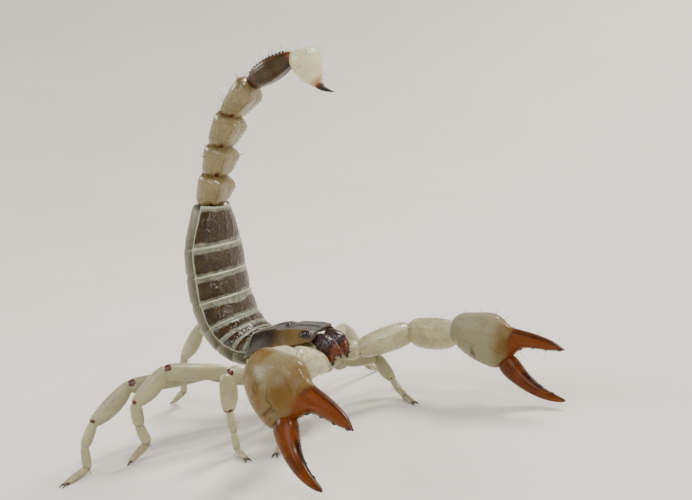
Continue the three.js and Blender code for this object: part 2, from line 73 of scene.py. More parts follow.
SHIELD = {
    "length": 7.9,
    "front_half": 2.75,
    "rear_half": 4.05,
    "heights": [9.6, 9.8, 9.9, 9.8, 9.6],
    "front_drop": 1.0,
    "rear_drop": 2.2,
    "notch": 0.45,
    "thickness": 0.34,
}
HEAD_BODY = {
    "front": -3.7, "length": 7.6, "middle": 7.1, "up": 1.5, "down": 1.6,
    "half_widths": [2.2, 2.9, 3.4, 3.65, 3.7],
}

# Eyes: out from the middle line, back from the middle of the shield, radius.
MIDDLE_EYE = [(0.36, 0.25, 0.34)]
SIDE_EYES = [(2.0, -3.25, 0.24), (2.12, -2.8, 0.22), (2.24, -2.4, 0.18)]
JAW_ROOT = (0.99, -3.95, 8.22)
JAW_PITCH = -36
# Every profile runs [along, half width, half depth, shift sideways, shift to the back side].
JAW_PROFILE = [
    [-0.9, 0.46, 0.5], [-0.5, 0.78, 0.8], [0.2, 0.95, 1.0], [0.9, 0.98, 1.05, 0, 0.02],
    [1.5, 0.86, 0.9, 0, -0.04], [1.9, 0.6, 0.62, 0, -0.1], [2.15, 0.26, 0.3, 0, -0.14],
]
FANGS = {  # length, root radius, bend, side of the teeth, place, degrees about X and about Y
    "Fixed_fang": (1.15, 0.46, 0.2, -1, (-0.26, 0.22, 1.5), 16, 0),
    "Moving_fang": (1.35, 0.5, 0.14, 1, (0.3, -0.3, 1.4), 34, 6),
}

# The trunk's segments are (length, pitch). The lists below them run from its front to its rear.
TRUNK_START = (0.0, 3.95, 7.55)
TRUNK = [(1.8, 16), (1.75, 38), (1.8, 58), (2.85, 76), (2.9, 90), (3.05, 93), (4.2, 100)]
TRUNK_HALF_WIDTHS = [3.9, 4.1, 4.25, 4.35, 4.4, 4.35, 4.15, 2.35]
TRUNK_UP = [2.0, 1.95, 1.9, 1.95, 1.95, 1.95, 1.9, 1.6]
TRUNK_DOWN = [1.7, 2.1, 2.45, 2.7, 2.8, 2.75, 2.5, 1.9]
PLATE_FIELD_ENDS = [0.7, 0.7, 0.72, 0.77, 0.79, 0.8, 0.87]  # where each plate's dark field ends
PLATE_THICKNESS = 0.26
PLATE_GRAIN = 0.26  # spacing of the grains
PLATE_REACH = math.radians(80)  # how far round the trunk a plate goes, from the back to its edge
# Breathing slits: place along a segment as a share, out from the middle line, slant and size.
SLIT = {"share": 0.55, "out": 1.6, "slant": 0.35, "size": (0.3, 0.08, 0.04)}

TAIL = [  # length, pitch, width, depth
    (3.35, 116, 4.0, 3.5),
    (3.2, 114, 3.75, 3.35),
    (3.55, 125, 3.6, 3.15),
    (4.05, 140, 3.4, 2.9),
    (5.75, 164, 2.8, 2.4),
]
BULB = (3.9, 233)  # length, pitch
# The tail's profiles have unit length, width and depth, and each segment stretches them.
TAIL_PROFILE = [
    [-0.14, 0.35, 0.33, 0, -0.2], [-0.06, 0.64, 0.6, 0, -0.2], [0.04, 0.82, 0.76, 0, -0.16],
    [0.16, 0.9, 0.86, 0, -0.1], [0.4, 0.96, 0.96, 0, -0.03], [0.64, 1.01, 1.04, 0, 0.02],
    [0.8, 1.0, 1.05, 0, 0.03], [0.9, 0.94, 0.97, 0, 0.0], [0.97, 0.82, 0.84, 0, -0.05],
    [1.03, 0.62, 0.62, 0, -0.1], [1.06, 0.36, 0.36, 0, -0.12],
]
TAIL_END_PROFILE = [
    [-0.06, 0.3, 0.3], [-0.02, 0.48, 0.5], [0.05, 0.62, 0.66], [0.18, 0.82, 0.86],
    [0.4, 1.0, 1.03], [0.6, 0.97, 0.98], [0.8, 0.77, 0.8], [0.92, 0.58, 0.62],
    [1.0, 0.44, 0.48], [1.03, 0.26, 0.28],
]
# The keels of a segment are (degrees from the back, rise as a share). Beads stand in rows at
# some of them: their material, spacing and radius. Marks are dark spots, (x, y, z, radius).
TAIL_FORMS = {
    "middle": {
        "profile": TAIL_PROFILE,
        "keels": [(36, 0.06), (80, 0.03), (128, 0.035), (160, 0.03)],
        "rows": (36, 80),
        "beads": ("Bead straw", 0.45, 0.08),
        "marks": [(0.62, 0.5, 0.0, 0.3), (-0.62, 0.5, 0.0, 0.3)],
        "shell": "Tail shell",
    },
    "end": {
        "profile": TAIL_END_PROFILE,
        "keels": [(50, 0.05), (105, 0.05), (140, 0.08), (180, 0.08)],
        "rows": (140, 180),
        "beads": ("Bead horn", 0.4, 0.15),
        "marks": [(0.5, 0.3, 0.02, 0.34), (-0.5, 0.3, 0.02, 0.34), (0.0, 0.5, 1.0, 0.3)],
        "shell": "Tail end shell",
    },
}
BULB_PROFILE = [
    [-0.35, 0.3, 0.3], [-0.1, 0.56, 0.6, 0, -0.1], [0.25, 0.9, 1.02, 0, -0.34],
    [0.8, 1.34, 1.45, 0, -0.6], [1.6, 1.56, 1.66, 0, -0.68], [2.4, 1.46, 1.52, 0, -0.56],
    [3.1, 1.08, 1.1, 0, -0.32], [3.6, 0.68, 0.68, 0, -0.1], [3.95, 0.46, 0.46],
    [4.15, 0.3, 0.3],
]
BULB_ROWS = (110, 145, 180)  # of beads, in degrees from the back
BULB_BEADS = ("Bead cream", 0.42, 0.07)
STING_LENGTH = 1.9
STING_PROFILE = [
    [-0.25, 0.36, 0.36], [0.1, 0.46, 0.46], [0.6, 0.35, 0.35], [1.1, 0.22, 0.22],
    [1.55, 0.11, 0.11], [STING_LENGTH, 0.025, 0.025],
]

LEG_PARTS = ["trochanter", "femur", "patella", "tibia", "basitarsus", "tarsus"]
LEG_LENGTHS = [  # from the first leg to the fourth
    [1.4, 3.7, 3.1, 1.7, 1.5, 2.0],
    [2.2, 4.7, 3.3, 2.0, 1.8, 2.4],
    [2.8, 6.5, 4.2, 2.1, 1.9, 2.6],
    [3.2, 7.9, 4.9, 2.3, 2.1, 2.9],
]
PATTERN_LENGTHS = dict(zip(LEG_PARTS, [2.8, 5.6, 4.3, 2.1, 1.9, 2.6]))  # as the patterns are drawn
LEG_THICKNESS = [0.9, 0.96, 1.0, 1.0]
STOUT_PARTS = {("right", 1, "patella"): 1.22}  # thickness of a part that is unlike its leg's
# Hips: place, and the pitch of the trochanter.
HIPS = [(3.0, -2.3, 4.7, 0), (3.9, -0.2, 5.5, 20), (4.3, 2.4, 5.6, 25), (4.2, 4.9, 5.6, 21)]
FOOT_HEIGHT = 0.22
# Headings of femur, patella and foot from straight ahead; pitches of patella, tibia,
# basitarsus and tarsus above level. The femur's pitch follows from the foot's height.
LEG_STANCES = {
    "left": [
        ([58, -8, -38], [-57, -28, -18, -6]),
        ([98, 92, 84], [-40, -65, -75, -22]),
        ([118, 116, 112], [-22, -56, -72, -26]),
        ([188, 180, 172], [-46, -68, -80, -30]),
    ],
    "right": [
        ([82, 82, 80], [-66, -82, -86, -20]),
        ([100, 88, 31], [-80, -86, -92, -8]),
        ([132, 127, 142], [-37, -89, -104, -38]),
        ([133, 119, 92], [-33, -50, -86, -8]),
    ],
}

ARM_ROOT = (2.5, -3.9, 6.25)
ARM_LENGTHS = [1.8, 6.3, 6.2, 13.0]  # trochanter, femur, patella and hand
HAND_LENGTH = ARM_LENGTHS[3]
ARM_STANCES = {  # heading and pitch of trochanter, femur, patella and hand, then the hand's roll
    "left": ([(35, -2), (54, 4), (-15, 3), (-18, -6)], -88),
    "right": ([(40, 16), (79, 19), (87, 11), (20, -17)], -59),
}

LEG_PROFILES = {
    "trochanter": [
        [-0.3, 0.3, 0.4], [0.15, 0.52, 0.68], [1.1, 0.62, 0.84], [2.2, 0.6, 0.82],
        [2.75, 0.5, 0.7], [3.05, 0.28, 0.4],
    ],
    "femur": [
        [-0.42, 0.22, 0.32], [-0.1, 0.44, 0.58], [0.6, 0.56, 0.76], [2.2, 0.6, 0.86, 0, -0.03],
        [3.9, 0.58, 0.86, 0, -0.03], [5.0, 0.56, 0.84], [5.45, 0.5, 0.74],
        [5.8, 0.3, 0.42, 0, 0.06],
    ],
    "patella": [
        [-0.4, 0.24, 0.34, 0, 0.12], [-0.05, 0.44, 0.6, 0, 0.1], [0.7, 0.55, 0.84, 0, -0.02],
        [1.9, 0.6, 0.99, 0, -0.1], [2.9, 0.56, 0.92, 0, -0.06], [3.8, 0.47, 0.72, 0, 0.02],
        [4.25, 0.38, 0.52, 0, 0.04], [4.5, 0.2, 0.26, 0, 0.06],
    ],
    "tibia": [
        [-0.35, 0.2, 0.26], [-0.05, 0.36, 0.48], [0.5, 0.43, 0.61], [1.4, 0.44, 0.62],
        [1.95, 0.4, 0.54], [2.2, 0.22, 0.3],
    ],
    "basitarsus": [
        [-0.26, 0.2, 0.26], [0.04, 0.35, 0.46], [0.7, 0.38, 0.52], [1.45, 0.39, 0.53],
        [1.85, 0.34, 0.46], [2.08, 0.18, 0.24],
    ],
    "tarsus": [
        [-0.24, 0.15, 0.2], [0.05, 0.27, 0.36], [0.6, 0.33, 0.42], [1.5, 0.31, 0.38],
        [2.2, 0.27, 0.3], [2.5, 0.2, 0.2], [2.62, 0.08, 0.08],
    ],
}
CLAW_PROFILE = [[-0.1, 0.09, 0.1], [0.15, 0.1, 0.12], [0.4, 0.07, 0.08], [0.62, 0.02, 0.02]]
SPUR_PROFILE = [[-0.08, 0.05, 0.05], [0.15, 0.04, 0.04], [0.36, 0.01, 0.01]]
# Dark hinge marks on the leg patterns: across, back, along, radius.
LEG_MARKS = {
    "femur": [(0.5, 0.5, 5.5, 0.72), (-0.5, 0.5, 5.5, 0.72), (0, 0.8, 5.55, 0.6)],
    "patella": [(0.5, 0.4, 4.25, 0.56), (-0.5, 0.4, 4.25, 0.56), (0, 0.62, 4.3, 0.42)],
    "basitarsus": [(0.3, 0.3, 2.0, 0.34), (-0.3, 0.3, 2.0, 0.34)],
    "tarsus": [(0.3, -0.05, 2.4, 0.3), (-0.3, -0.05, 2.4, 0.3)],
}

ARM_PROFILES = {
    "trochanter": [
        [-0.45, 0.5, 0.5], [0.0, 0.85, 0.88], [0.7, 1.06, 1.08], [1.4, 1.0, 1.02],
        [1.85, 0.75, 0.78], [2.1, 0.35, 0.4],
    ],
    "femur": [
        [-0.45, 0.45, 0.46], [0.0, 0.88, 0.9], [0.9, 1.16, 1.2], [2.6, 1.32, 1.36],
        [4.6, 1.36, 1.4], [5.7, 1.2, 1.24], [6.25, 0.86, 0.88], [6.6, 0.38, 0.4],
    ],
    "patella": [
        [-0.45, 0.4, 0.46, 0, 0], [-0.05, 0.85, 0.95, 0, -0.05], [0.5, 1.28, 1.48, 0, -0.15],
        [1.7, 1.55, 1.7, 0, -0.28], [3.8, 1.58, 1.7, 0, -0.36], [5.2, 1.42, 1.5, 0, -0.34],
        [5.95, 1.1, 1.15, 0, -0.28], [6.3, 0.8, 0.85, 0, -0.2], [6.5, 0.4, 0.4, 0, -0.1],
    ],
}

# The hand: place along it as a share of its length, the edge away from the movable finger, the
# edge on its side, and the half thickness.
HAND_EDGES = [
    [-0.015, -0.6, 0.3, 0.35], [0.0, -1.15, 0.75, 0.8], [0.025, -1.65, 1.25, 1.25],
    [0.07, -1.98, 1.75, 1.6], [0.13, -2.12, 2.2, 1.85], [0.21, -2.15, 2.6, 2.05],
    [0.3, -2.3, 2.95, 2.1], [0.37, -2.32, 3.12, 1.98], [0.42, -2.2, 3.05, 1.68],
    [0.46, -1.88, 2.7, 1.34], [0.5, -1.46, 2.15, 1.08], [0.54, -1.23, 1.5, 0.94],
    [0.59, -1.15, 0.85, 0.85], [0.64, -1.11, 0.45, 0.76], [0.7, -1.05, 0.32, 0.68],
    [0.78, -0.92, 0.26, 0.57], [0.87, -0.72, 0.2, 0.43], [0.94, -0.44, 0.1, 0.29],
    [0.98, -0.22, -0.02, 0.16], [1.0, -0.12, -0.03, 0.05],
]
HAND_SPREAD = {"left": 1.0, "right": 1.1}  # each palm's width, as a share of the table's
FINGER = {"base": (6.37, 2.45), "tip": (12.7, 4.9), "bow": 0.75}  # along and across the hand
FINGER_PROFILE = [
    [-0.16, 0.5, 0.45], [-0.1, 0.85, 0.72], [-0.04, 1.08, 0.88], [0.04, 1.2, 0.96],
    [0.13, 1.12, 0.93], [0.25, 0.92, 0.84], [0.5, 0.68, 0.63], [0.75, 0.47, 0.45],
    [0.9, 0.29, 0.28], [0.97, 0.15, 0.15], [1.0, 0.04, 0.04],
]

PATCH_SIZE = 0.003  # share of the bristles' own map that one bristle's patch takes

# ------------------------------------------------------------------ studio

SWEEP_RADIUS = 0.8  # of the bend from the floor to the wall, in metres
SWEEP_STEPS = 12
WALL_HEIGHT = 0.4
# Lights: place in millimetres, diameter in metres, power in watts, tint.
LIGHTS = {
    "Key": ((480, -190, 700), 0.3, 7.5, (1.0, 0.96, 0.9)),
    "Fill": ((-480, -140, 520), 0.5, 2.0, (0.92, 0.96, 1.0)),
    "Front": ((-60, -330, 600), 0.1, 1.3, (1.0, 0.98, 0.95)),
    "Low": ((150, -480, 110), 0.09, 0.45, (1.0, 0.97, 0.92)),
    "Back": ((-150, 520, 420), 0.25, 1.5, (1.0, 0.98, 0.94)),
}
LIT_POINT = (0, 0, 18)  # where the lights aim
SKY_TINT = (0.9, 0.93, 1.0, 1.0)
SKY_STRENGTH = 0.2
CAMERA = {"place": (-69.52, -51.41, 25.76), "azimuth": -58.0, "pitch": -6.0, "roll": -9.5}


# ------------------------------------------------------------------ adjustable settings

def linear(code):
    """Linear colour with alpha from a six-digit display colour."""
    channels = [int(code[i:i + 2], 16) / 255 for i in (0, 2, 4)]
    return [((c + 0.055) / 1.055) ** 2.4 if c > 0.04045 else c / 12.92 for c in channels] + [1.0]


def colour(name, code, description):
    return FloatVectorProperty(
        name=name, description=description, subtype="COLOR", size=4, min=0, max=1,
        default=linear(code),
    )


class ScorpionColours(bpy.types.PropertyGroup):
    """Colours of the shell, from soft skin to horn."""
    ivory: colour("Ivory", "979474", "Legs and arm joints")
    hand: colour("Hand", "674e1d", "Palm of the pincers")
    straw: colour("Straw", "746742", "Tail segments")
    cream: colour("Cream", "cbc7a0", "Venom bulb")
    amber: colour("Amber", "673003", "Fingers and joint edges")
    horn: colour("Horn", "270d03", "Teeth, hinge marks and the sting's root")
    jet: colour("Jet", "060506", "Eyes, claws and the sting's tip")
    plate: colour("Back plate", "342304", "Dark field of the back plates")
    band: colour("Plate band", "7e806f", "Pale rear bands of the back plates")
    pleura: colour("Side skin", "59573f", "Soft skin of the flanks and belly")
    shield: colour("Shield", "624d24", "Slopes of the head shield")
    shield_dark: colour("Shield lobes", "1f1207", "Dark rear lobes of the head shield")
    plateau: colour("Shield top", "423c3c", "Grey top of the head shield")
    jaw: colour("Jaw", "3f2e30", "Upper side of the jaws")
    fang: colour("Fang", "592307", "Fangs of the jaws")
    tail_end: colour("Tail end", "523f1d", "Clouds in the last tail segment")
    sting_root: colour("Sting root", "955916", "End of the venom bulb, at the sting")
    mark: colour("Hinge mark", "4d1405", "Dark spots at the joints of legs and arms")
    hair: colour("Bristles", "4b381f", "Bristles on tail, arms and legs")
    floor: colour("Floor", "e6e2da", "Studio floor")


class ScorpionSizes(bpy.types.PropertyGroup):
    """Sizes of the finish and the fine parts."""
    bristle_length: FloatProperty(
        name="Bristle length", description="Length of the longest bristles",
        default=1.45 * MM, min=0, unit="LENGTH",
    )
    bristle_radius: FloatProperty(
        name="Bristle radius", description="Radius of a bristle at its root",
        default=0.024 * MM, min=0, unit="LENGTH",
    )
    bristle_seed: IntProperty(
        name="Bristle seed", description="Chooses where the bristles stand", default=7,
    )
    grain_height: FloatProperty(
        name="Grain height", description="Height of the grains on the back plates",
        default=0.055 * MM, min=0, unit="LENGTH",
    )
    lens: FloatProperty(
        name="Lens", description="Focal length of the camera", default=43.7, min=1,
        subtype="DISTANCE_CAMERA",
    )
    floor_radius: FloatProperty(
        name="Floor radius", description="Radius of the level part of the studio floor",
        default=0.2, min=0.1, unit="LENGTH",
    )


def colours():
    return bpy.context.scene.scorpion_colours


def sizes():
    return bpy.context.scene.scorpion_sizes


# ------------------------------------------------------------------ modelling steps

def deselect():
    if bpy.context.mode != "OBJECT":
        bpy.ops.object.mode_set(mode="OBJECT")
    bpy.ops.object.select_all(action="DESELECT")


def select_only(*pieces):
    deselect()
    for piece in pieces:
        piece.select_set(True)
    bpy.context.view_layer.objects.active = pieces[0]


def newest(name):
    piece = bpy.context.object
    piece.name = name
    piece.data.name = name
    return piece


def apply_modifier(piece, kind, **settings):
    select_only(piece)
    bpy.ops.object.modifier_add(type=kind)
    modifier = piece.modifiers[-1]
    for key, value in settings.items():
        setattr(modifier, key, value)
    bpy.ops.object.modifier_apply(modifier=modifier.name)


def rounded(piece, levels):
    apply_modifier(piece, "SUBSURF", levels=levels, render_levels=levels)
    return piece


def loft(name, profile, sides=16, levels=2):
    """A closed body along +Z: a disc, extruded and scaled from station to station."""
    stations = [(row + [0, 0])[:5] for row in profile]
    along, wide, deep, x, y = stations[0]
    deselect()
    bpy.ops.mesh.primitive_circle_add(vertices=sides, radius=MM, fill_type="NGON")
    piece = newest(name)
    bpy.ops.object.mode_set(mode="EDIT")
    bpy.ops.mesh.select_all(action="SELECT")
    bpy.ops.transform.resize(value=(wide, deep, 1))
    bpy.ops.transform.translate(value=(x * MM, y * MM, along * MM))
    for before, after in zip(stations, stations[1:]):
        step = [(after[i] - before[i]) * MM for i in (3, 4, 0)]
        centre = [after[i] * MM for i in (3, 4, 0)]
        scale = (after[1] / before[1], after[2] / before[2], 1)
        bpy.ops.mesh.extrude_region_move(TRANSFORM_OT_translate={"value": step})
        bpy.ops.transform.resize(value=scale, center_override=centre)
    bpy.ops.mesh.select_all(action="SELECT")
    bpy.ops.mesh.normals_make_consistent(inside=False)
    bpy.ops.object.mode_set(mode="OBJECT")
    put_in_order(piece)
    return rounded(piece, levels)


def grid(name, columns, rows):
    """A flat sheet of quads, one millimetre square, for moulding."""
    deselect()
    bpy.ops.mesh.primitive_grid_add(x_subdivisions=columns, y_subdivisions=rows, size=MM)
    return newest(name)


def tube(name, sides, rings):
    """An upright cylinder one millimetre high and wide, cut into rings, with pointed ends."""
    deselect()
    bpy.ops.mesh.primitive_cylinder_add(
        vertices=sides, radius=0.5 * MM, depth=MM, end_fill_type="TRIFAN",
    )
    piece = newest(name)
    bpy.ops.object.mode_set(mode="EDIT")
    bpy.ops.mesh.select_mode(type="EDGE")
    bpy.ops.mesh.select_all(action="DESELECT")
    bpy.ops.object.mode_set(mode="OBJECT")
    for edge in piece.data.edges:
        a, b = (piece.data.vertices[i].co for i in edge.vertices)
        edge.select = abs(a.z - b.z) > 0.5 * MM
    bpy.ops.object.mode_set(mode="EDIT")
    bpy.ops.mesh.subdivide(number_cuts=rings)
    bpy.ops.mesh.select_mode(type="VERT")
    bpy.ops.object.mode_set(mode="OBJECT")
    return piece


def ball(name, detail=3):
    deselect()
    bpy.ops.mesh.primitive_ico_sphere_add(subdivisions=detail, radius=MM)
    return newest(name)


def points_of(piece):
    flat = np.empty(len(piece.data.vertices) * 3)
    piece.data.vertices.foreach_get("co", flat)
    return flat.reshape(-1, 3) / MM


def put_in_order(piece):
    """Numbers corners and faces by their place, because extruding numbers them anew each run."""
    points = points_of(piece)
    order = np.lexsort(np.round(points, 4).T)
    number = np.argsort(order)
    faces = []
    for polygon in piece.data.polygons:
        corners = number[list(polygon.vertices)]
        faces.append(np.roll(corners, -int(np.argmin(corners))).tolist())
    piece.data.clear_geometry()
    piece.data.from_pydata((points[order] * MM).tolist(), [], sorted(faces))


def mould(piece, place):
    """Moves every vertex by place, which takes and gives an array of points in millimetres."""
    moved = np.stack(place(*points_of(piece).T), axis=1) * MM
    piece.data.vertices.foreach_set("co", moved.ravel())
    piece.data.update()
    return piece


def paint(piece, name, values):
    """Stores a number for every vertex, for a material to read. A single one serves for all."""
    layers = piece.data.attributes
    layer = layers.get(name) or layers.new(name, "FLOAT", "POINT")
    numbers = np.full(len(piece.data.vertices), values, dtype=np.float32)
    layer.data.foreach_set("value", numbers)


def outwards(piece):
    """Turns the faces of a closed piece outwards if a mirrored copy has turned them in."""
    mesh = piece.data
    mesh.calc_loop_triangles()
    corners = np.empty(len(mesh.loop_triangles) * 3, dtype=int)
    mesh.loop_triangles.foreach_get("vertices", corners)
    a, b, c = points_of(piece)[corners.reshape(-1, 3)].transpose(1, 0, 2)
    if np.einsum("ij,ij->", a, np.cross(b, c)) > 0:
        return piece
    select_only(piece)
    bpy.ops.object.mode_set(mode="EDIT")
    bpy.ops.mesh.select_all(action="SELECT")
    bpy.ops.mesh.flip_normals()
    bpy.ops.object.mode_set(mode="OBJECT")
    return piece


def placed_copy(pattern, name, matrix):
    select_only(pattern)
    bpy.ops.object.duplicate()
    piece = newest(name)
    piece.matrix_world = matrix
    bpy.ops.object.transform_apply(location=True, rotation=True, scale=True)
    return outwards(piece)


def joined(name, pieces):
    select_only(*pieces)
    if len(pieces) > 1:
        bpy.ops.object.join()
    return newest(name)


def discard(*pieces):
    select_only(*pieces)
    bpy.ops.object.delete()


def stamped(name, pattern, matrices):
    """One piece made of many small copies of a pattern, one for each matrix."""
    corners = np.c_[points_of(pattern) * MM, np.ones(len(pattern.data.vertices))]
    faces = [list(polygon.vertices) for polygon in pattern.data.polygons]
    points = np.concatenate([corners @ np.array(matrix).T for matrix in matrices])[:, :3]
    mesh = bpy.data.meshes.new(name)
    mesh.from_pydata(points.tolist(), [], [
        [vertex + copy * len(corners) for vertex in face]
        for copy in range(len(matrices)) for face in faces
    ])
    for material in pattern.data.materials:
        mesh.materials.append(material)
    piece = bpy.data.objects.new(name, mesh)
    bpy.context.scene.collection.objects.link(piece)
    return piece


def dress(piece, material):
    piece.data.materials.append(bpy.data.materials[material])


def settle(piece, slot, *nodes):
    """Shades a finished piece smooth and ties it to the frame."""
    select_only(piece)
    bpy.ops.object.shade_smooth()
    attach(piece, "root")
    if nodes:
        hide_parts(*nodes)
    return piece


# ------------------------------------------------------------------ shape formulas

def ease(value, low, high):
    """0 below low and 1 above high, with a soft change between them."""
    share = np.clip((np.asarray(value, dtype=float) - low) / (high - low), 0, 1)
    return share * share * (3 - 2 * share)


def hump(value, centre, width):
    return np.exp(-((np.asarray(value, dtype=float) - centre) / width) ** 2)


def spread(values, share):
    """The value at a share 0..1 of a list of evenly spaced values."""
    return np.interp(share, np.linspace(0, 1, len(values)), values)


def direction(heading, pitch):
    h, p = math.radians(heading), math.radians(pitch)
    return np.array([
        math.sin(h) * math.cos(p), -math.cos(h) * math.cos(p), math.sin(p),
    ])


def make_run(start, bends):
    """Straight segments from joint to joint. Each bend is (heading, pitch, length)."""
    run = []
    joint = np.array(start, dtype=float)
    for heading, pitch, length in bends:
        h = math.radians(heading)
        along = direction(heading, pitch)
        side = np.array([-math.cos(h), -math.sin(h), 0])
        run.append({
            "start": joint, "length": length, "along": along, "side": side,
            "up": np.cross(side, along),
        })
        joint = joint + along * length
    for i, segment in enumerate(run):
        before, after = run[max(i - 1, 0)], run[min(i + 1, len(run) - 1)]
        for end, pair in (("first", before), ("last", after)):
            plane = pair["along"] + segment["along"]
            segment[end] = plane / np.linalg.norm(plane)
    return run


def on_run(run, at, across, high):
    """Points of a bent run, as an array: at counts segments, the rest is square to the axis."""
    index = np.clip(np.floor(at + 1e-9).astype(int), 0, len(run) - 1)
    share = (at - index)[:, None]
    part = {key: np.array([segment[key] for segment in run])[index] for key in run[0]}
    offset = part["side"] * across[:, None] + part["up"] * high[:, None]
    overhang = 0.5 * np.linalg.norm(offset, axis=1, keepdims=True)
    slides = []
    for end in ("first", "last"):
        fall = (offset * part[end]).sum(1, keepdims=True)
        slides.append(-fall / (part["along"] * part[end]).sum(1, keepdims=True))
    slide = np.maximum(slides[0], -overhang) * (1 - share) ** 2
    slide = slide + np.minimum(slides[1], overhang) * share ** 2
    length = part["length"][:, None]
    return part["start"] + offset + part["along"] * (share * length + slide) + ORIGIN_MM


def frame_matrix(start, x, y, z, scale=(1, 1, 1)):
    """Carries a pattern onto a place: its axes go to x, y and z, and its origin to start."""
    matrix = Matrix.Identity(4)
    for column, (axis, size) in enumerate(zip((x, y, z), scale)):
        for row in range(3):
            matrix[row][column] = axis[row] * size
    for row in range(3):
        matrix[row][3] = start[row] * MM + ORIGIN[row]
    return matrix


def segment_matrix(segment, scale=(1, 1, 1)):
    return frame_matrix(
        segment["start"], -segment["side"], segment["up"], segment["along"], scale,
    )


def surface_point(piece, centre, outward, reach=8.0):
    """Where a line from outside towards a centre meets a piece, and the surface normal there."""
    start = Vector(centre) * MM + Vector(outward).normalized() * reach * MM
    hit, point, normal, _ = piece.ray_cast(start, -Vector(outward).normalized())
    if not hit:
        raise RuntimeError(f"{piece.name} has no surface at {tuple(centre)}")
    return point, normal


def standing_matrix(point, normal, size, lean=(0, 0, 0)):
    """Stands a +Z pattern on a surface, leaned over by a small vector."""
    z = (Vector(normal) + Vector(lean)).normalized()
    turn = z.to_track_quat("Z", "Y").to_matrix().to_4x4()
    return Matrix.Translation(point) @ turn @ Matrix.Diagonal((*size, 1))


# ------------------------------------------------------------------ materials

def add_node(tree, kind, values=None, **settings):
    """Adds a node. Values go to its input sockets, as links where they are sockets."""
    node = tree.nodes.new(kind)
    for key, value in settings.items():
        setattr(node, key, value)
    for key, value in (values or {}).items():
        if isinstance(value, bpy.types.NodeSocket):
            tree.links.new(value, node.inputs[key])
        else:
            node.inputs[key].default_value = value
    return node


def calc(tree, operation, a, b=None):
    values = {0: a} if b is None else {0: a, 1: b}
    return add_node(tree, "ShaderNodeMath", values, operation=operation).outputs[0]


def fade(tree, value, low, high, start=0.0, end=1.0):
    """Goes softly from start to end as the value goes from low to high."""
    values = {"Value": value, "From Min": low, "From Max": high, "To Min": start, "To Max": end}
    return add_node(
        tree, "ShaderNodeMapRange", values, interpolation_type="SMOOTHSTEP",
    ).outputs["Result"]


def blend_colours(tree, factor, a, b):
    return add_node(
        tree, "ShaderNodeMix", {0: factor, 6: a, 7: b}, data_type="RGBA",
    ).outputs[2]


def painted(tree, name):
    return add_node(tree, "ShaderNodeAttribute", attribute_name=name).outputs["Fac"]


def place(tree):
    return add_node(tree, "ShaderNodeTexCoord").outputs["Object"]


def noise(tree, where, size, detail=2.0, rough=0.5):
    """Soft noise 0..1 with blotches of about a size in millimetres."""
    values = {"Vector": where, "Scale": 1 / (size * MM), "Detail": detail, "Roughness": rough}
    return add_node(tree, "ShaderNodeTexNoise", values).outputs["Fac"]


def node_group(name, inputs, outputs):
    group = bpy.data.node_groups.new(name, "ShaderNodeTree")
    for label, kind in inputs:
        group.interface.new_socket(name=label, in_out="INPUT", socket_type=kind)
    for label in outputs:
        group.interface.new_socket(name=label, in_out="OUTPUT", socket_type="NodeSocketFloat")
    start = group.nodes.new("NodeGroupInput")
    end = group.nodes.new("NodeGroupOutput")
    return group, start.outputs, end.inputs


def grain_group():
    """Patches of fine grains on the shell, as a height for bump and gloss."""
    group, given, result = node_group(
        "Shell grain", [("Place", "NodeSocketVector"), ("Size", "NodeSocketFloat")], ["Height"],
    )
    scale = calc(group, "DIVIDE", 1 / MM, given["Size"])
    grains = add_node(group, "ShaderNodeTexVoronoi", {"Vector": given["Place"], "Scale": scale})
    slow = calc(group, "MULTIPLY", scale, 0.3)
    waves = add_node(group, "ShaderNodeTexNoise", {"Vector": given["Place"], "Scale": slow})
    heights = fade(group, grains.outputs["Distance"], 0.1, 0.7, 1.0, 0.0)
    patchy = calc(group, "MULTIPLY", heights, fade(group, waves.outputs["Fac"], 0.35, 0.65, 0.3))
    group.links.new(patchy, result["Height"])


def marks_group():
    """Turns nearness to a hinge mark into a spot with a slightly ragged edge."""
    group, given, result = node_group(
        "Hinge marks", [("Place", "NodeSocketVector"), ("Nearness", "NodeSocketFloat")], ["Mask"],
    )
    ragged = calc(group, "MULTIPLY", noise(group, given["Place"], 0.35), 0.3)
    spot = calc(group, "ADD", given["Nearness"], ragged)
    group.links.new(fade(group, spot, 0.5, 0.62), result["Mask"])


def mottle_group():
    """Cloudy flesh that shows through thin shell, from soft patches to short streaks."""
    group, given, result = node_group(
        "Flesh under shell", [("Place", "NodeSocketVector")], ["Cloud", "Streak"],
    )
    group.links.new(fade(group, noise(group, given["Place"], 1.6), 0.35, 0.7), result["Cloud"])
    streak = noise(group, given["Place"], 0.5, detail=4.0, rough=0.6)
    group.links.new(fade(group, streak, 0.42, 0.72), result["Streak"])


def use_group(tree, name, **values):
    return add_node(
        tree, "ShaderNodeGroup", values, node_tree=bpy.data.node_groups[name],
    ).outputs


def new_shell(name, rough=0.3, subsurface=0.0, depth=0.6, coat=0.0, coat_rough=0.08, specular=0.5):
    """A new shell material's node tree, and its shader with the constants set."""
    material = bpy.data.materials.new(name)
    material.use_nodes = True
    tree = material.node_tree
    tree.nodes.clear()
    shader = add_node(tree, "ShaderNodeBsdfPrincipled", {
        "Roughness": rough,
        "Subsurface Weight": subsurface,
        "Subsurface Radius": (1.0, 0.72, 0.4),
        "Subsurface Scale": depth * MM,
        "Coat Weight": coat,
        "Coat Roughness": coat_rough,
        "Specular IOR Level": specular,
    })
    add_node(tree, "ShaderNodeOutputMaterial", {"Surface": shader.outputs["BSDF"]})
    return tree, shader


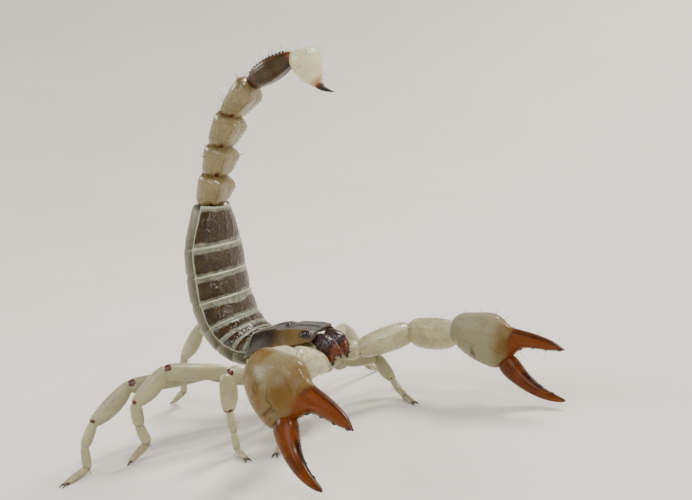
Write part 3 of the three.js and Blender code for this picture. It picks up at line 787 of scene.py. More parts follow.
def finish_shell(tree, shader, base, height=None, bump=0.02, rough=None):
    tree.links.new(base, shader.inputs["Base Color"])
    if rough is not None:
        tree.links.new(rough, shader.inputs["Roughness"])
    if height is not None:
        relief = add_node(tree, "ShaderNodeBump", {
            "Height": height, "Distance": bump * MM, "Strength": 1.0,
        })
        tree.links.new(relief.outputs["Normal"], shader.inputs["Normal"])


def flesh_shell(
    name, main, pale, deep, marks, tints, subsurface=0.5, grain=0.14, bump=0.012, coat=0.3,
    specular=0.4,
):
    """Thin translucent shell, clouded by the flesh in it, with tinted ends and dark hinge marks."""
    tree, shader = new_shell(name, 0.24, subsurface, depth=0.7, coat=coat, specular=specular)
    where = place(tree)
    flesh = use_group(tree, "Flesh under shell", Place=where)
    grains = use_group(tree, "Shell grain", Place=where, Size=grain)
    cloudy = blend_colours(tree, calc(tree, "MULTIPLY", flesh["Cloud"], 0.55), main, pale)
    streaky = blend_colours(tree, calc(tree, "MULTIPLY", flesh["Streak"], 0.28), cloudy, deep)
    tinted = blend_colours(tree, painted(tree, "tint"), streaky, tints)
    spots = use_group(tree, "Hinge marks", Place=where, Nearness=painted(tree, "mark"))
    base = blend_colours(tree, spots["Mask"], tinted, marks)
    rough = fade(tree, grains["Height"], 0.0, 1.0, 0.3, 0.2)
    finish_shell(tree, shader, base, grains["Height"], bump, rough)


def lighter(value, share):
    return [min(c * (1 + share), 0.9) for c in value[:3]] + [1.0]


def darker(value, share):
    return [c * (1 - share) for c in value[:3]] + [1.0]


def blotched(tree, where, size, main, other):
    """A colour with uneven blotches of another, of about a size in millimetres."""
    return blend_colours(tree, fade(tree, noise(tree, where, size, 3.0), 0.35, 0.7), main, other)


def make_materials():
    tone = colours()
    grain_group()
    marks_group()
    mottle_group()
    flesh_shell(
        "Leg shell", tone.ivory, lighter(tone.ivory, 0.35), darker(tone.ivory, 0.3),
        tone.mark, tone.amber,
    )
    flesh_shell(
        "Arm shell", lighter(tone.ivory, 0.2), lighter(tone.ivory, 0.8), tone.hand,
        tone.mark, tone.amber,
    )
    flesh_shell(
        "Tail shell", tone.straw, lighter(tone.straw, 0.5), darker(tone.straw, 0.5),
        tone.mark, tone.shield, subsurface=0.35, grain=0.24, bump=0.035, coat=0.6,
    )
    flesh_shell(
        "Tail end shell", darker(tone.plate, 0.1), tone.tail_end,
        darker(tone.plate, 0.5), tone.mark, tone.amber, subsurface=0.1, specular=0.2,
    )
    flesh_shell(
        "Bulb shell", tone.cream, lighter(tone.cream, 0.25), darker(tone.cream, 0.22),
        tone.mark, tone.sting_root, grain=0.24, bump=0.04,
    )
    make_sting_material()
    make_hand_material()
    make_finger_material()
    make_plate_material()
    make_pleura_material()
    make_shield_material()
    make_jaw_material()
    make_plain_material("Eye jet", tone.jet, rough=0.12, coat=0.4)
    make_plain_material("Claw horn", darker(tone.horn, 0.35), rough=0.2, coat=0.4)
    make_plain_material("Bead straw", lighter(tone.straw, 0.3), rough=0.12, coat=0.8)
    make_plain_material("Bead cream", lighter(tone.cream, 0.1), rough=0.12, coat=0.6)
    make_plain_material("Bead horn", darker(tone.horn, 0.2), rough=0.22, coat=0.4)
    make_plain_material("Bristle", tone.hair, rough=0.35, coat=0.1)


def make_plain_material(name, main, rough, coat):
    """Hard dark or pale trim: one colour, broken up by fine streaks."""
    tree, shader = new_shell(name, rough, coat=coat)
    streak = noise(tree, place(tree), 0.2, detail=3.0)
    base = blend_colours(tree, fade(tree, streak, 0.35, 0.7), main, lighter(main, 0.08))
    finish_shell(tree, shader, base, rough=fade(tree, streak, 0.3, 0.7, rough, rough + 0.06))


def make_sting_material():
    """Orange at the root, through dark red, to a black tip."""
    tone = colours()
    tree, shader = new_shell("Sting horn", 0.18, coat=0.3, specular=0.2)
    along = painted(tree, "along")
    warm = blend_colours(tree, fade(tree, along, 0.02, 0.3), tone.amber, tone.horn)
    base = blend_colours(tree, fade(tree, along, 0.25, 0.6), warm, tone.jet)
    finish_shell(tree, shader, base)


def ragged_mark(tree, where):
    """The painted marks of a hand or finger, with uneven edges."""
    uneven = calc(tree, "MULTIPLY", noise(tree, where, 0.5), 0.25)
    return fade(tree, calc(tree, "ADD", painted(tree, "mark"), uneven), 0.3, 0.85)


def make_hand_material():
    """Yellow-brown palm, paler on one face, with a painted pool of light and brown veins; orange
    and dark on the fixed finger.
    """
    tone = colours()
    tree, shader = new_shell("Hand shell", subsurface=0.35, coat=0.1, specular=0.16)
    where = place(tree)
    flesh = use_group(tree, "Flesh under shell", Place=where)
    grains = use_group(tree, "Shell grain", Place=where, Size=0.16)
    cloudy = calc(tree, "MULTIPLY", flesh["Cloud"], 0.35)
    flesh_and_lit_tone = darker(tone.ivory, 0.2)
    palm = blend_colours(tree, cloudy, tone.hand, flesh_and_lit_tone)
    # Paler where the patch is painted: the palm's own pale face near the wrist, and a painted pool
    # of light on the swell of the palm.
    palm = blend_colours(tree, painted(tree, "patch"), palm, flesh_and_lit_tone)
    bent = add_node(tree, "ShaderNodeTexNoise", {"Vector": where, "Scale": 1 / (1.4 * MM)})
    shifted = add_node(tree, "ShaderNodeVectorMath", {
        0: bent.outputs["Color"], 3: 1.3 * MM,
    }, operation="SCALE")
    warped = add_node(tree, "ShaderNodeVectorMath", {
        0: where, 1: shifted.outputs[0],
    }, operation="ADD")
    net = add_node(tree, "ShaderNodeTexVoronoi", {
        "Vector": warped.outputs[0], "Scale": 1 / (2.2 * MM),
    }, feature="DISTANCE_TO_EDGE")
    veins = fade(tree, net.outputs["Distance"], 0.0, 0.07, 1.0, 0.0)
    veins = calc(tree, "MULTIPLY", veins, painted(tree, "vein"))
    palm = blend_colours(tree, calc(tree, "MULTIPLY", veins, 0.7), palm, tone.plate)
    tinted = blend_colours(tree, painted(tree, "tint"), palm, tone.amber)
    dark = ragged_mark(tree, where)
    base = blend_colours(tree, dark, tinted, tone.horn)
    rough = fade(tree, grains["Height"], 0.0, 1.0, 0.32, 0.2)
    finish_shell(tree, shader, base, grains["Height"], 0.014, rough)


def make_finger_material():
    """Orange horn with a dark outer edge, hinge and tip."""
    tone = colours()
    tree, shader = new_shell(
        "Finger horn", 0.26, subsurface=0.1, depth=0.4, coat=0.16, specular=0.14,
    )
    where = place(tree)
    grains = use_group(tree, "Shell grain", Place=where, Size=0.16)
    flesh = use_group(tree, "Flesh under shell", Place=where)
    warm = blend_colours(
        tree, calc(tree, "MULTIPLY", flesh["Cloud"], 0.8), tone.amber, darker(tone.amber, 0.55),
    )
    dark = ragged_mark(tree, where)
    base = blend_colours(tree, dark, warm, tone.horn)
    finish_shell(tree, shader, base, grains["Height"], 0.012)


def make_plate_material():
    """A back plate: a dark grainy field in a pale frame, with painted highlights along its rear and
    side edges.
    """
    tone = colours()
    tree, shader = new_shell("Back plate shell", 0.2, specular=0.36)
    where = place(tree)
    grains = use_group(tree, "Shell grain", Place=where, Size=0.2)
    wander = calc(tree, "MULTIPLY", calc(tree, "SUBTRACT", noise(tree, where, 1.2), 0.5), 0.1)
    along = calc(tree, "ADD", painted(tree, "along"), wander)
    across = calc(tree, "ADD", painted(tree, "across"), wander)
    rear = painted(tree, "rear")
    front = fade(tree, along, 0.15, 0.21)
    before_rear = fade(tree, calc(tree, "SUBTRACT", along, rear), -0.05, 0.03, 1.0, 0.0)
    inside = fade(tree, across, 0.89, 0.95, 1.0, 0.0)
    field = calc(tree, "MULTIPLY", calc(tree, "MULTIPLY", front, before_rear), inside)
    brown = blotched(tree, where, 0.9, tone.plate, darker(tone.plate, 0.55))
    pale = blotched(tree, where, 0.6, tone.band, darker(tone.band, 0.5))
    # Painted highlights: bright lines along the rear rim and along the side edges of the plate.
    for value, rise, fall, end, strength, highlight_gain in (
        (along, (0.9, 0.94), (0.97, 1.0), 0.4, 0.6, 1.2),
        (across, (0.9, 0.94), (0.95, 1.0), 0, 0.7, 1.0),
    ):
        line = calc(tree, "MULTIPLY", fade(tree, value, *rise), fade(tree, value, *fall, 1, end))
        line = calc(tree, "MULTIPLY", line, strength)
        pale = blend_colours(tree, line, pale, lighter(tone.band, highlight_gain))
    base = blend_colours(tree, field, pale, brown)
    swells = use_group(tree, "Shell grain", Place=where, Size=0.55)
    height = calc(tree, "ADD", swells["Height"], calc(tree, "MULTIPLY", grains["Height"], 0.3))
    rough = fade(tree, grains["Height"], 0.0, 1.0, 0.19, 0.11)
    finish_shell(tree, shader, base, height, 0.045, rough)


def make_pleura_material():
    """Soft grey-green flank skin with fine lengthwise folds, and browner plates below."""
    tone = colours()
    tree, shader = new_shell("Flank skin", 0.4, subsurface=0.3, coat=0.2, coat_rough=0.2)
    where = place(tree)
    around = painted(tree, "around")
    ripple = calc(tree, "ADD", calc(tree, "MULTIPLY", around, 170.0), calc(
        tree, "MULTIPLY", noise(tree, where, 0.8), 5.0,
    ))
    folds = calc(tree, "SINE", ripple)
    skin = blend_colours(
        tree, fade(tree, folds, -0.2, 0.9), tone.pleura, darker(tone.pleura, 0.45),
    )
    skin = blend_colours(
        tree, fade(tree, noise(tree, where, 0.7, 3.0), 0.4, 0.75), skin, lighter(tone.pleura, 0.3),
    )
    below = fade(tree, around, 0.62, 0.68)
    sternum = blotched(tree, where, 1.0, tone.straw, darker(tone.straw, 0.4))
    edge = fade(tree, painted(tree, "edge"), 0.2, 0.8)
    base = blend_colours(tree, below, skin, sternum)
    base = blend_colours(tree, calc(tree, "MULTIPLY", edge, 0.6), base, tone.plate)
    finish_shell(tree, shader, base, folds, 0.012)


def make_shield_material():
    """The head shield: yellow-brown slopes, a grey grainy plateau and dark rear lobes."""
    tone = colours()
    tree, shader = new_shell("Head shield shell", subsurface=0.1, depth=0.5, specular=0.35)
    where = place(tree)
    grains = use_group(tree, "Shell grain", Place=where, Size=0.17)
    slope = blotched(tree, where, 1.1, tone.shield, darker(tone.shield, 0.35))
    ragged = calc(tree, "MULTIPLY", calc(tree, "SUBTRACT", noise(tree, where, 0.7, 3.0), 0.5), 0.5)
    dark = fade(tree, calc(tree, "ADD", painted(tree, "dark"), ragged), 0.1, 0.95)
    base = blend_colours(tree, dark, slope, tone.shield_dark)
    grey = fade(tree, calc(tree, "ADD", painted(tree, "grey"), ragged), 0.3, 0.9)
    base = blend_colours(tree, grey, base, tone.plateau)
    base = blend_colours(tree, painted(tree, "pale"), base, tone.band)
    height = calc(tree, "MULTIPLY", grains["Height"], painted(tree, "grain"))
    rough = fade(tree, height, 0.0, 1.0, 0.4, 0.2)
    finish_shell(tree, shader, base, height, 0.035, rough)


def make_jaw_material():
    """Jaws: grey-brown and glossy above, dark red-brown on the fangs, black at their tips."""
    tone = colours()
    tree, shader = new_shell("Jaw horn", 0.18, specular=0.35)
    where = place(tree)
    along = painted(tree, "along")
    top = blotched(tree, where, 0.5, tone.jaw, tone.shield_dark)
    warm = blend_colours(tree, fade(tree, along, 0.08, 0.4), top, tone.fang)
    base = blend_colours(tree, fade(tree, along, 0.8, 0.97), warm, tone.jet)
    grains = use_group(tree, "Shell grain", Place=where, Size=0.2)
    finish_shell(tree, shader, base, grains["Height"], 0.02)


# ------------------------------------------------------------------ head shield, eyes and jaws

def shield_half_width(share):
    front, rear = SHIELD["front_half"], SHIELD["rear_half"]
    return front + (rear - front) * np.sin(share * math.pi / 2)


def shield_relief(x, y):
    """Furrows and swellings of the head shield, in millimetres above its smooth form."""
    side = np.abs(x)
    furrow = -0.14 * hump(x, 0, 0.16) * (1 - 0.8 * hump(y, 0.25, 0.7))
    tubercle = 0.16 * hump(x, 0, 0.62) * hump(y, 0.25, 0.75)
    lobes = 0.26 * hump(side, 2.45, 1.0) * hump(y, 2.3, 1.4)
    lobe_groove = -0.16 * hump(side, 1.05 + 0.12 * (y - 1.5), 0.3) * ease(y, 0.7, 1.9)
    cross_groove = -0.14 * hump(y, 0.6 - 0.4 * (side - 1.2), 0.55) * ease(side, 0.9, 1.8)
    ledge = 0.1 * hump(side, 1.72, 0.22) * ease(y, -3.7, -3.0) * (1 - ease(y, 1.0, 2.2))
    corner = 0.16 * hump(side, 2.05, 0.4) * hump(y, -2.9, 0.7)
    return furrow + tubercle + lobes + lobe_groove + cross_groove + ledge + corner


def make_shield():
    def place_shield(x, y, z):
        share, t = y + 0.5, 2 * x
        wide = shield_half_width(share) * (1 - 0.1 * ease(-share, -0.16, 0.0))
        at_x = t * wide
        at_y = (share - 0.5) * SHIELD["length"]
        at_y = at_y + SHIELD["notch"] * (1 - share) ** 4 * (1 - np.abs(t))
        at_y = at_y + 0.5 * ease(np.abs(t), 0.75, 1.0) * (1 - share) ** 6
        drop = SHIELD["front_drop"] + (SHIELD["rear_drop"] - SHIELD["front_drop"]) * share
        fall = drop * (0.12 * t ** 2 + 0.88 * ease(np.abs(t), 0.4, 1.1))
        nose = 0.14 * ease(share, 0.08, 0.0)
        high = spread(SHIELD["heights"], share) - fall - nose + shield_relief(at_x, at_y)
        high = high + 0.09 * hump(np.abs(t), 0.965, 0.025)
        return at_x + ORIGIN_MM[0], at_y + ORIGIN_MM[1], high

    piece = grid("Head_shield", 86, 92)
    mould(piece, place_shield)
    apply_modifier(piece, "SOLIDIFY", thickness=SHIELD["thickness"] * MM, offset=-1)
    rounded(piece, 1)
    x, y, _ = (points_of(piece) - ORIGIN_MM).T
    side = np.abs(x)
    share = y / SHIELD["length"] + 0.5
    lobes = 1.3 * hump(side, 2.75, 1.5) * hump(y, 2.4, 2.1)
    eyes = 0.9 * hump(x, 0, 0.6) * hump(y, 0.25, 0.6)
    corners = 1.5 * hump(side, 2.08, 0.36) * hump(y, -2.85, 0.62)
    front = 0.8 * ease(-y, 2.6, 3.9)
    paint(piece, "dark", np.maximum.reduce([lobes, eyes, corners, front]))
    grey = (1 - ease(side, 1.3, 2.0)) * (1 - ease(y, 1.6, 3.2)) * ease(y, -4.0, -3.2)
    paint(piece, "grey", np.maximum(grey, 0.7 * (1 - ease(side, 0.6, 1.4)) * ease(y, 2.0, 3.0)))
    edge = np.abs(x) / shield_half_width(np.clip(share, 0, 1))
    paint(piece, "pale", np.maximum(ease(share, 0.972, 0.985), 0.25 * ease(edge, 0.97, 0.99)))
    paint(piece, "grain", 0.35 + 0.65 * np.maximum(grey, hump(side, 2.4, 1.2) * ease(y, 1, 2)))
    dress(piece, "Head shield shell")
    return settle(piece, "shield", "carapace")


def make_eye(name, shield, centres, node):
    """One eye, or a row of small ones, set into the shield. Each centre is (x, y, radius)."""
    lens = ball(f"{name}_lens", 3)
    lenses = []
    for x, y, radius in centres:
        centre = np.array([x, y, 9.0]) + ORIGIN_MM
        point, normal = surface_point(shield, centre, (0, 0, 1))
        sunk = Vector(point) - Vector(normal) * radius * 0.25 * MM
        lenses.append(placed_copy(lens, name, standing_matrix(
            sunk, normal, (radius * 0.92, radius * 1.08, radius * 0.9),
        )))
    discard(lens)
    piece = joined(name, lenses)
    dress(piece, "Eye jet")
    return settle(piece, "eye", node)


def hooked(piece, bend):
    """Bends a +Z pattern towards its belly side, more and more towards its end."""
    return mould(piece, lambda x, y, z: (x, y - bend * np.maximum(z, 0) ** 2, z))


def fang(name, length, root, bend, turn):
    """A curved fang with two teeth on its inner edge."""
    profile = [
        [0.0, root, root], [0.3 * length, 0.88 * root, 0.9 * root],
        [0.62 * length, 0.6 * root, 0.62 * root], [0.86 * length, 0.3 * root, 0.3 * root],
        [length, 0.06, 0.06],
    ]
    blade = hooked(loft(name, profile, 12, 2), bend)
    height = np.clip(points_of(blade)[:, 2] / length, 0, 1)
    paint(blade, "along", 0.5 + 0.5 * height)
    teeth = []
    for share, size in ((0.36, 0.17), (0.6, 0.13)):
        tooth_profile = [
            [-0.1, size, size], [0.15, 0.7 * size, 0.7 * size], [0.32, 0.04, 0.04],
        ]
        tooth = loft(f"{name}_tooth", tooth_profile, 8, 1)
        paint(tooth, "along", 0.85)
        at = share * length
        matrix = Matrix.Translation(Vector((0, turn * 0.6 * root - bend * at ** 2, at)) * MM)
        matrix = matrix @ Matrix.Rotation(-turn * math.radians(80), 4, "X")
        teeth.append(placed_copy(tooth, f"{name}_tooth", matrix))
        discard(tooth)
    return joined(name, [blade, *teeth])


def make_jaw(side_name):
    sign = MIRROR[side_name]
    palm = loft("Jaw_palm", JAW_PROFILE, 16, 2)
    height = points_of(palm)[:, 2]
    paint(palm, "along", 0.4 * ease(height, 0.9, 2.0))
    parts = [palm]
    for name, (length, root, bend, turn, start, about_x, about_y) in FANGS.items():
        pattern = fang(name, length, root, bend, turn)
        matrix = Matrix.Translation(Vector(start) * MM)
        matrix = matrix @ Matrix.Rotation(math.radians(about_x), 4, "X")
        matrix = matrix @ Matrix.Rotation(math.radians(about_y), 4, "Y")
        parts.append(placed_copy(pattern, name, matrix))
        discard(pattern)
    pattern = joined("Jaw", parts)
    along = direction(0, JAW_PITCH)
    up = np.cross([-1, 0, 0], along)
    start = (sign * JAW_ROOT[0], *JAW_ROOT[1:])
    matrix = frame_matrix(start, (sign, 0, 0), up, along)
    piece = placed_copy(pattern, f"Jaw_{side_name}", matrix)
    discard(pattern)
    dress(piece, "Jaw horn")
    return settle(piece, "dark_horn", f"chelicera_{side_name}")


# ------------------------------------------------------------------ trunk

def make_spine():
    bends = [(180, pitch, length) for length, pitch in TRUNK]
    bends += [(180, part[1], part[0]) for part in [*TAIL, BULB]]
    run = make_run(TRUNK_START, bends)
    run[0]["first"] = np.array([0.0, 1.0, 0.0])
    return run


SPINE = make_spine()


def make_plate(index):
    rear = PLATE_FIELD_ENDS[index]
    first = index if index == 0 else index - 0.1
    last = index + (1.09 if index == len(TRUNK) - 1 else 1.05)

    def place_plate(x, y, z):
        across, v = 2 * x, y + 0.5
        at = first + (last - first) * v
        share = np.clip(at / len(TRUNK), 0, 1)
        relief = -0.24 * (1 - ease(v, 0.0, 0.2)) + 0.07 * hump(v, 0.5 * (0.25 + rear), 0.25)
        relief = relief - 0.07 * hump(v, rear + 0.03, 0.025) + 0.07 * hump(v, 0.93, 0.05)
        relief = relief - 0.16 * ease(v, 0.965, 1.0) - 0.12 * ease(np.abs(across), 0.93, 1.0)
        relief = relief + 0.05 * hump(across, 0, 0.05) * ease(v, 0.2, 0.4)
        if index == len(TRUNK) - 1:
            keels = hump(np.abs(across), 0.28, 0.05) + hump(np.abs(across), 0.62, 0.05)
            relief = relief + 0.05 * keels * ease(v, 0.25, 0.4) * (1 - ease(v, 0.7, 0.85))
        half = spread(TRUNK_HALF_WIDTHS, share) + relief
        up = spread(TRUNK_UP, share) + relief
        angle = across * PLATE_REACH
        return on_run(SPINE, at, half * np.sin(angle), up * np.cos(angle)).T

    piece = grid(f"Back_plate_{index + 1}", 72, 26)
    x, y, _ = points_of(piece).T
    paint(piece, "across", np.abs(2 * x))
    paint(piece, "along", y + 0.5)
    ridge = 0.14 * (1 - ease(np.abs(2 * x), 0.0, 0.6)) * (index < 4)
    paint(piece, "rear", rear - ridge)
    mould(piece, place_plate)
    apply_modifier(piece, "SOLIDIFY", thickness=PLATE_THICKNESS * MM, offset=-1)
    rounded(piece, 1)
    grained(piece, PLATE_GRAIN, sizes().grain_height)
    dress(piece, "Back plate shell")
    return settle(piece, "back_plate", f"tergite_{index + 1}")


def grained(piece, size, height):
    """Raises small grains all over a piece."""
    texture = bpy.data.textures.new(f"{piece.name}_grains", "VORONOI")
    texture.noise_scale = size * MM
    apply_modifier(
        piece, "DISPLACE", texture=texture, texture_coords="LOCAL", strength=-height, mid_level=0.5,
    )


def make_belly():
    """The skin of the flanks and the belly plates, creased between the segments."""
    def on_trunk(z):
        at = 0.06 + (z + 0.5) * (len(TRUNK) - 0.08)
        stage = at - np.floor(at)
        return at, stage, np.minimum(stage, 1 - stage)

    def place_belly(x, y, z):
        radius = np.clip(2 * np.hypot(x, y), 0, 1)
        turn = np.arctan2(x, y)
        at, stage, crease = on_trunk(z)
        share = at / len(TRUNK)
        flank = hump(np.abs(turn), math.radians(92), math.radians(26))
        notch = -0.16 * hump(crease, 0, 0.09)
        bulge = 0.22 * flank * np.sin(stage * math.pi)
        half = spread(TRUNK_HALF_WIDTHS, share) - 0.42 + bulge + notch
        up = spread(TRUNK_UP, share) - 0.42
        down = spread(TRUNK_DOWN, share) + notch
        wide = radius * half * np.sign(x) * np.abs(np.sin(turn)) ** 0.8
        high = radius * np.cos(turn) * np.where(np.cos(turn) > 0, up, down)
        return on_run(SPINE, at, wide, high).T

    piece = tube("Belly_skin", 80, 90)
    x, y, z = points_of(piece).T
    paint(piece, "around", np.abs(np.arctan2(x, y)) / math.pi)
    paint(piece, "edge", hump(on_trunk(z)[2], 0, 0.05))
    mould(piece, place_belly)
    rounded(piece, 1)
    dress(piece, "Flank skin")
    piece = joined(piece.name, [piece, breathing_slits(piece)])
    return settle(piece, "soft_skin", "belly")


def breathing_slits(piece):
    """Four pairs of dark slits on the belly plates."""
    slit = ball("Slit", 2)
    dress(slit, "Claw horn")
    matrices = []
    for segment in SPINE[2:6]:
        for sign in (1, -1):
            middle = segment["start"] + segment["along"] * SLIT["share"] * segment["length"]
            centre = middle + segment["side"] * sign * SLIT["out"] + ORIGIN_MM
            point, normal = surface_point(piece, centre, -segment["up"])
            slanted = segment["side"] * sign + segment["along"] * SLIT["slant"]
            lengthwise = np.cross(normal, slanted)
            lengthwise = lengthwise / np.linalg.norm(lengthwise)
            matrices.append(frame_matrix(
                np.array(point) / MM - ORIGIN_MM, np.cross(lengthwise, normal), lengthwise,
                np.array(normal), SLIT["size"],
            ))
    slits = stamped("Slits", slit, matrices)
    discard(slit)
    return slits


# ------------------------------------------------------------------ tail and sting

def keeled(piece, keels):
    """Raises lengthwise keels on a tail pattern, and swells its back corners near the end."""
    def place_keels(x, y, z):
        turn = np.degrees(np.abs(np.arctan2(x, y)))
        rise = sum(height * hump(turn, angle, 8) for angle, height in keels)
        rise = rise - 0.07 * hump(turn, 0, 16)
        window = ease(z, 0.02, 0.2) * (1 - ease(z, 0.9, 1.0))
        corner = 0.07 * hump(turn, 34, 32) * hump(z, 0.74, 0.18)
        factor = 1 + window * rise + corner
        return x * factor, y * factor, z
    return mould(piece, place_keels)


def ridged(piece, ridges, length):
    """Raises blunt ridges along a pattern. A ridge is its degrees from the back, and a share."""
    def place_ridges(x, y, z):
        turn = np.degrees(np.abs(np.arctan2(x, y)))
        window = ease(z / length, 0.02, 0.15) * (1 - ease(z / length, 0.88, 1.0))
        factor = 1 + window * sum(share * hump(turn, angle, 9) for angle, share in ridges)
        return x * factor, y * factor, z
    return mould(piece, place_ridges)


def make_tail_segment(index):
    form = TAIL_FORMS["end" if index == len(TAIL) - 1 else "middle"]
    length, _, width, depth = TAIL[index]
    segment = SPINE[len(TRUNK) + index]
    pattern = loft("Tail_pattern", form["profile"], 20, 2)
    keeled(pattern, form["keels"])
    x, y, z = points_of(pattern).T
    turn = np.degrees(np.abs(np.arctan2(x, y)))
    rim = hump(z, 0.975, 0.028) * ease(turn, 50, 80) + 0.8 * hump(z, 0.03, 0.05)
    rim = rim + 0.6 * hump(turn, 150, 14) * ease(z, 0.1, 0.3)
    paint(pattern, "tint", np.clip(rim, 0, 0.8))
    paint(pattern, "mark", nearness(pattern, form["marks"]))
    matrix = segment_matrix(segment, (width / 2, depth / 2, length))
    piece = placed_copy(pattern, f"Tail_segment_{index + 1}", matrix)
    discard(pattern)
    dress(piece, form["shell"])
    beads = bead_rows(piece, segment, 0.12 * length, form["rows"], form["beads"])
    piece = joined(piece.name, [piece, beads])
    return settle(piece, "straw_cuticle", f"tail_segment_{index + 1}")


def nearness(piece, spots):
    """1 at the middle of the nearest spot, and 0 at its edge. A spot is (x, y, z, radius)."""
    points = points_of(piece)
    values = [
        1 - np.linalg.norm(points - np.array(spot[:3]), axis=1) / spot[3] for spot in spots
    ]
    return np.clip(np.max(values, axis=0), 0, 1)


def bead_rows(piece, segment, first, rows, grains):
    """Small grains in rows along a tail segment. Grains are their material, spacing and radius."""
    shell, pace, radius = grains
    bead = ball("Bead", 2)
    dress(bead, shell)
    matrices = []
    for angle in rows:
        for sign in (1, -1) if angle < 180 else (1,):
            turn = math.radians(angle) * sign
            outward = -segment["side"] * math.sin(turn) + segment["up"] * math.cos(turn)
            for i in range(int(0.78 * segment["length"] / pace)):
                along = first + (i + 0.5) * pace
                centre = segment["start"] + segment["along"] * along + ORIGIN_MM
                point, normal = surface_point(piece, centre, outward)
                matrices.append(standing_matrix(point, normal, (radius, radius, 0.9 * radius)))
    beads = stamped("Beads", bead, matrices)
    discard(bead)
    return beads


def make_vesicle():
    pattern = loft("Bulb_pattern", BULB_PROFILE, 20, 2)
    z = points_of(pattern)[:, 2]
    paint(pattern, "tint", 0.85 * ease(z, 3.3, 4.0) + 0.3 * (1 - ease(z, -0.3, 0.3)))
    piece = placed_copy(pattern, "Venom_bulb", segment_matrix(SPINE[-1]))
    discard(pattern)
    rounded(piece, 1)
    grained(piece, 0.4, 1.3 * sizes().grain_height)
    dress(piece, "Bulb shell")
    beads = bead_rows(piece, SPINE[-1], 0.2, BULB_ROWS, BULB_BEADS)
    piece = joined(piece.name, [piece, beads])
    return settle(piece, "cream_cuticle", "telson_vesicle")


def make_sting():
    pattern = loft("Sting_pattern", STING_PROFILE, 16, 2)
    hooked(pattern, 0.2)
    paint(pattern, "along", np.clip(points_of(pattern)[:, 2] / STING_LENGTH, 0, 1))
    end = SPINE[-1]
    matrix = segment_matrix({**end, "start": end["start"] + end["along"] * end["length"]})
    piece = placed_copy(pattern, "Sting", matrix)
    discard(pattern)
    dress(piece, "Sting horn")
    return settle(piece, "dark_horn", "telson_sting")


# ------------------------------------------------------------------ legs

def leg_patterns():
    """One straight pattern for each part of a leg, at the size of the third leg."""
    patterns = {}
    for part in LEG_PARTS:
        piece = loft(f"{part}_pattern", LEG_PROFILES[part], 14, 2)
        length = PATTERN_LENGTHS[part]
        paint(piece, "mark", nearness(piece, LEG_MARKS.get(part, [(0, 0, 99, 1)])))
        ridged(piece, [(0, 0.05), (55, 0.025), (180, 0.04)], length)
        x, y, z = points_of(piece).T
        back_line = hump(np.degrees(np.arctan2(x, y)), 0, 5) * ease(z, 0.2, 0.6)
        tint = 0.18 * hump(z, length, 0.12) + 0.2 * back_line
        if part == "basitarsus":
            tint = 0.6 * ease(z, 0.9 * length, length)
        if part == "tarsus":
            tint = 0.12 + 0.5 * ease(z, 0.8 * length, length) + 0.4 * hump(z, 0.1, 0.12)
        paint(piece, "tint", tint)
        dress(piece, "Leg shell")
        patterns[part] = piece
    patterns["claw"] = hooked(loft("Claw_pattern", CLAW_PROFILE, 8, 1), 0.55)
    patterns["spur"] = loft("Spur_pattern", SPUR_PROFILE, 6, 1)
    for part in ("claw", "spur"):
        dress(patterns[part], "Claw horn")
    return patterns


def leg_run(side_name, index):
    sign = MIRROR[side_name]
    x, y, z, rise = HIPS[index]
    headings, pitches = LEG_STANCES[side_name][index]
    lengths = LEG_LENGTHS[index]
    fall = sum(
        length * math.sin(math.radians(pitch)) for length, pitch in zip(lengths[2:], pitches)
    )
    knee_rise = FOOT_HEIGHT - z - lengths[0] * math.sin(math.radians(rise)) - fall
    femur_pitch = math.degrees(math.asin(knee_rise / lengths[1]))
    femur, patella, foot = (sign * heading for heading in headings)
    bends = [(femur, rise, lengths[0]), (femur, femur_pitch, lengths[1])]
    bends += [(patella, pitches[0], lengths[2])]
    bends += [(foot, pitch, length) for pitch, length in zip(pitches[1:], lengths[3:])]
    return make_run((sign * x, y, z), bends)


def make_leg(side_name, index, patterns):
    sign = MIRROR[side_name]
    run = leg_run(side_name, index)
    parts = {}
    for part, segment in zip(LEG_PARTS, run):
        stretch = segment["length"] / PATTERN_LENGTHS[part]
        thick = STOUT_PARTS.get((side_name, index, part), LEG_THICKNESS[index])
        matrix = segment_matrix(segment, (sign * thick, thick, stretch))
        parts[part] = [placed_copy(patterns[part], part, matrix)]
    parts["tarsus"] += foot_trim(run[-1], run[-2], patterns)
    name = f"Leg_{side_name}_{index + 1}"
    groups = {
        "femur": parts["trochanter"] + parts["femur"],
        "patella": parts["patella"],
        "foot": parts["tibia"] + parts["basitarsus"] + parts["tarsus"],
    }
    for group, pieces in groups.items():
        piece = joined(f"{name}_{group}", pieces)
        if group == "foot":
            mould(piece, lambda x, y, z: (x, y, np.maximum(z, 0.0)))
        settle(piece, "leg_cuticle", f"leg_{side_name}_{index + 1}_{group}")


def turned_about(z, across):
    """Unit axes with the last along z and the first square to it and to another direction."""
    z = z / np.linalg.norm(z)
    x = np.cross(across, z)
    x = x / np.linalg.norm(x)
    return x, np.cross(z, x), z


def foot_trim(tarsus, basitarsus, patterns):
    """Two claws at the end of a tarsus and two spurs at its root."""
    trim = []
    side, up, along = tarsus["side"], tarsus["up"], tarsus["along"]
    end = tarsus["start"] + along * (tarsus["length"] - 0.12)
    for turn in (-1, 1):
        axes = turned_about(along + side * 0.35 * turn + np.array([0, 0, 0.12]), [0, 0, 1])
        start = end + side * 0.12 * turn + up * 0.02
        trim.append(placed_copy(patterns["claw"], "claw", frame_matrix(start, *axes)))
        axes = turned_about(basitarsus["along"] * 0.6 + side * 0.6 * turn - up * 0.5, along)
        start = tarsus["start"] + side * 0.2 * turn - up * 0.25
        trim.append(placed_copy(patterns["spur"], "spur", frame_matrix(start, *axes)))
    return trim


# ------------------------------------------------------------------ pincer arms

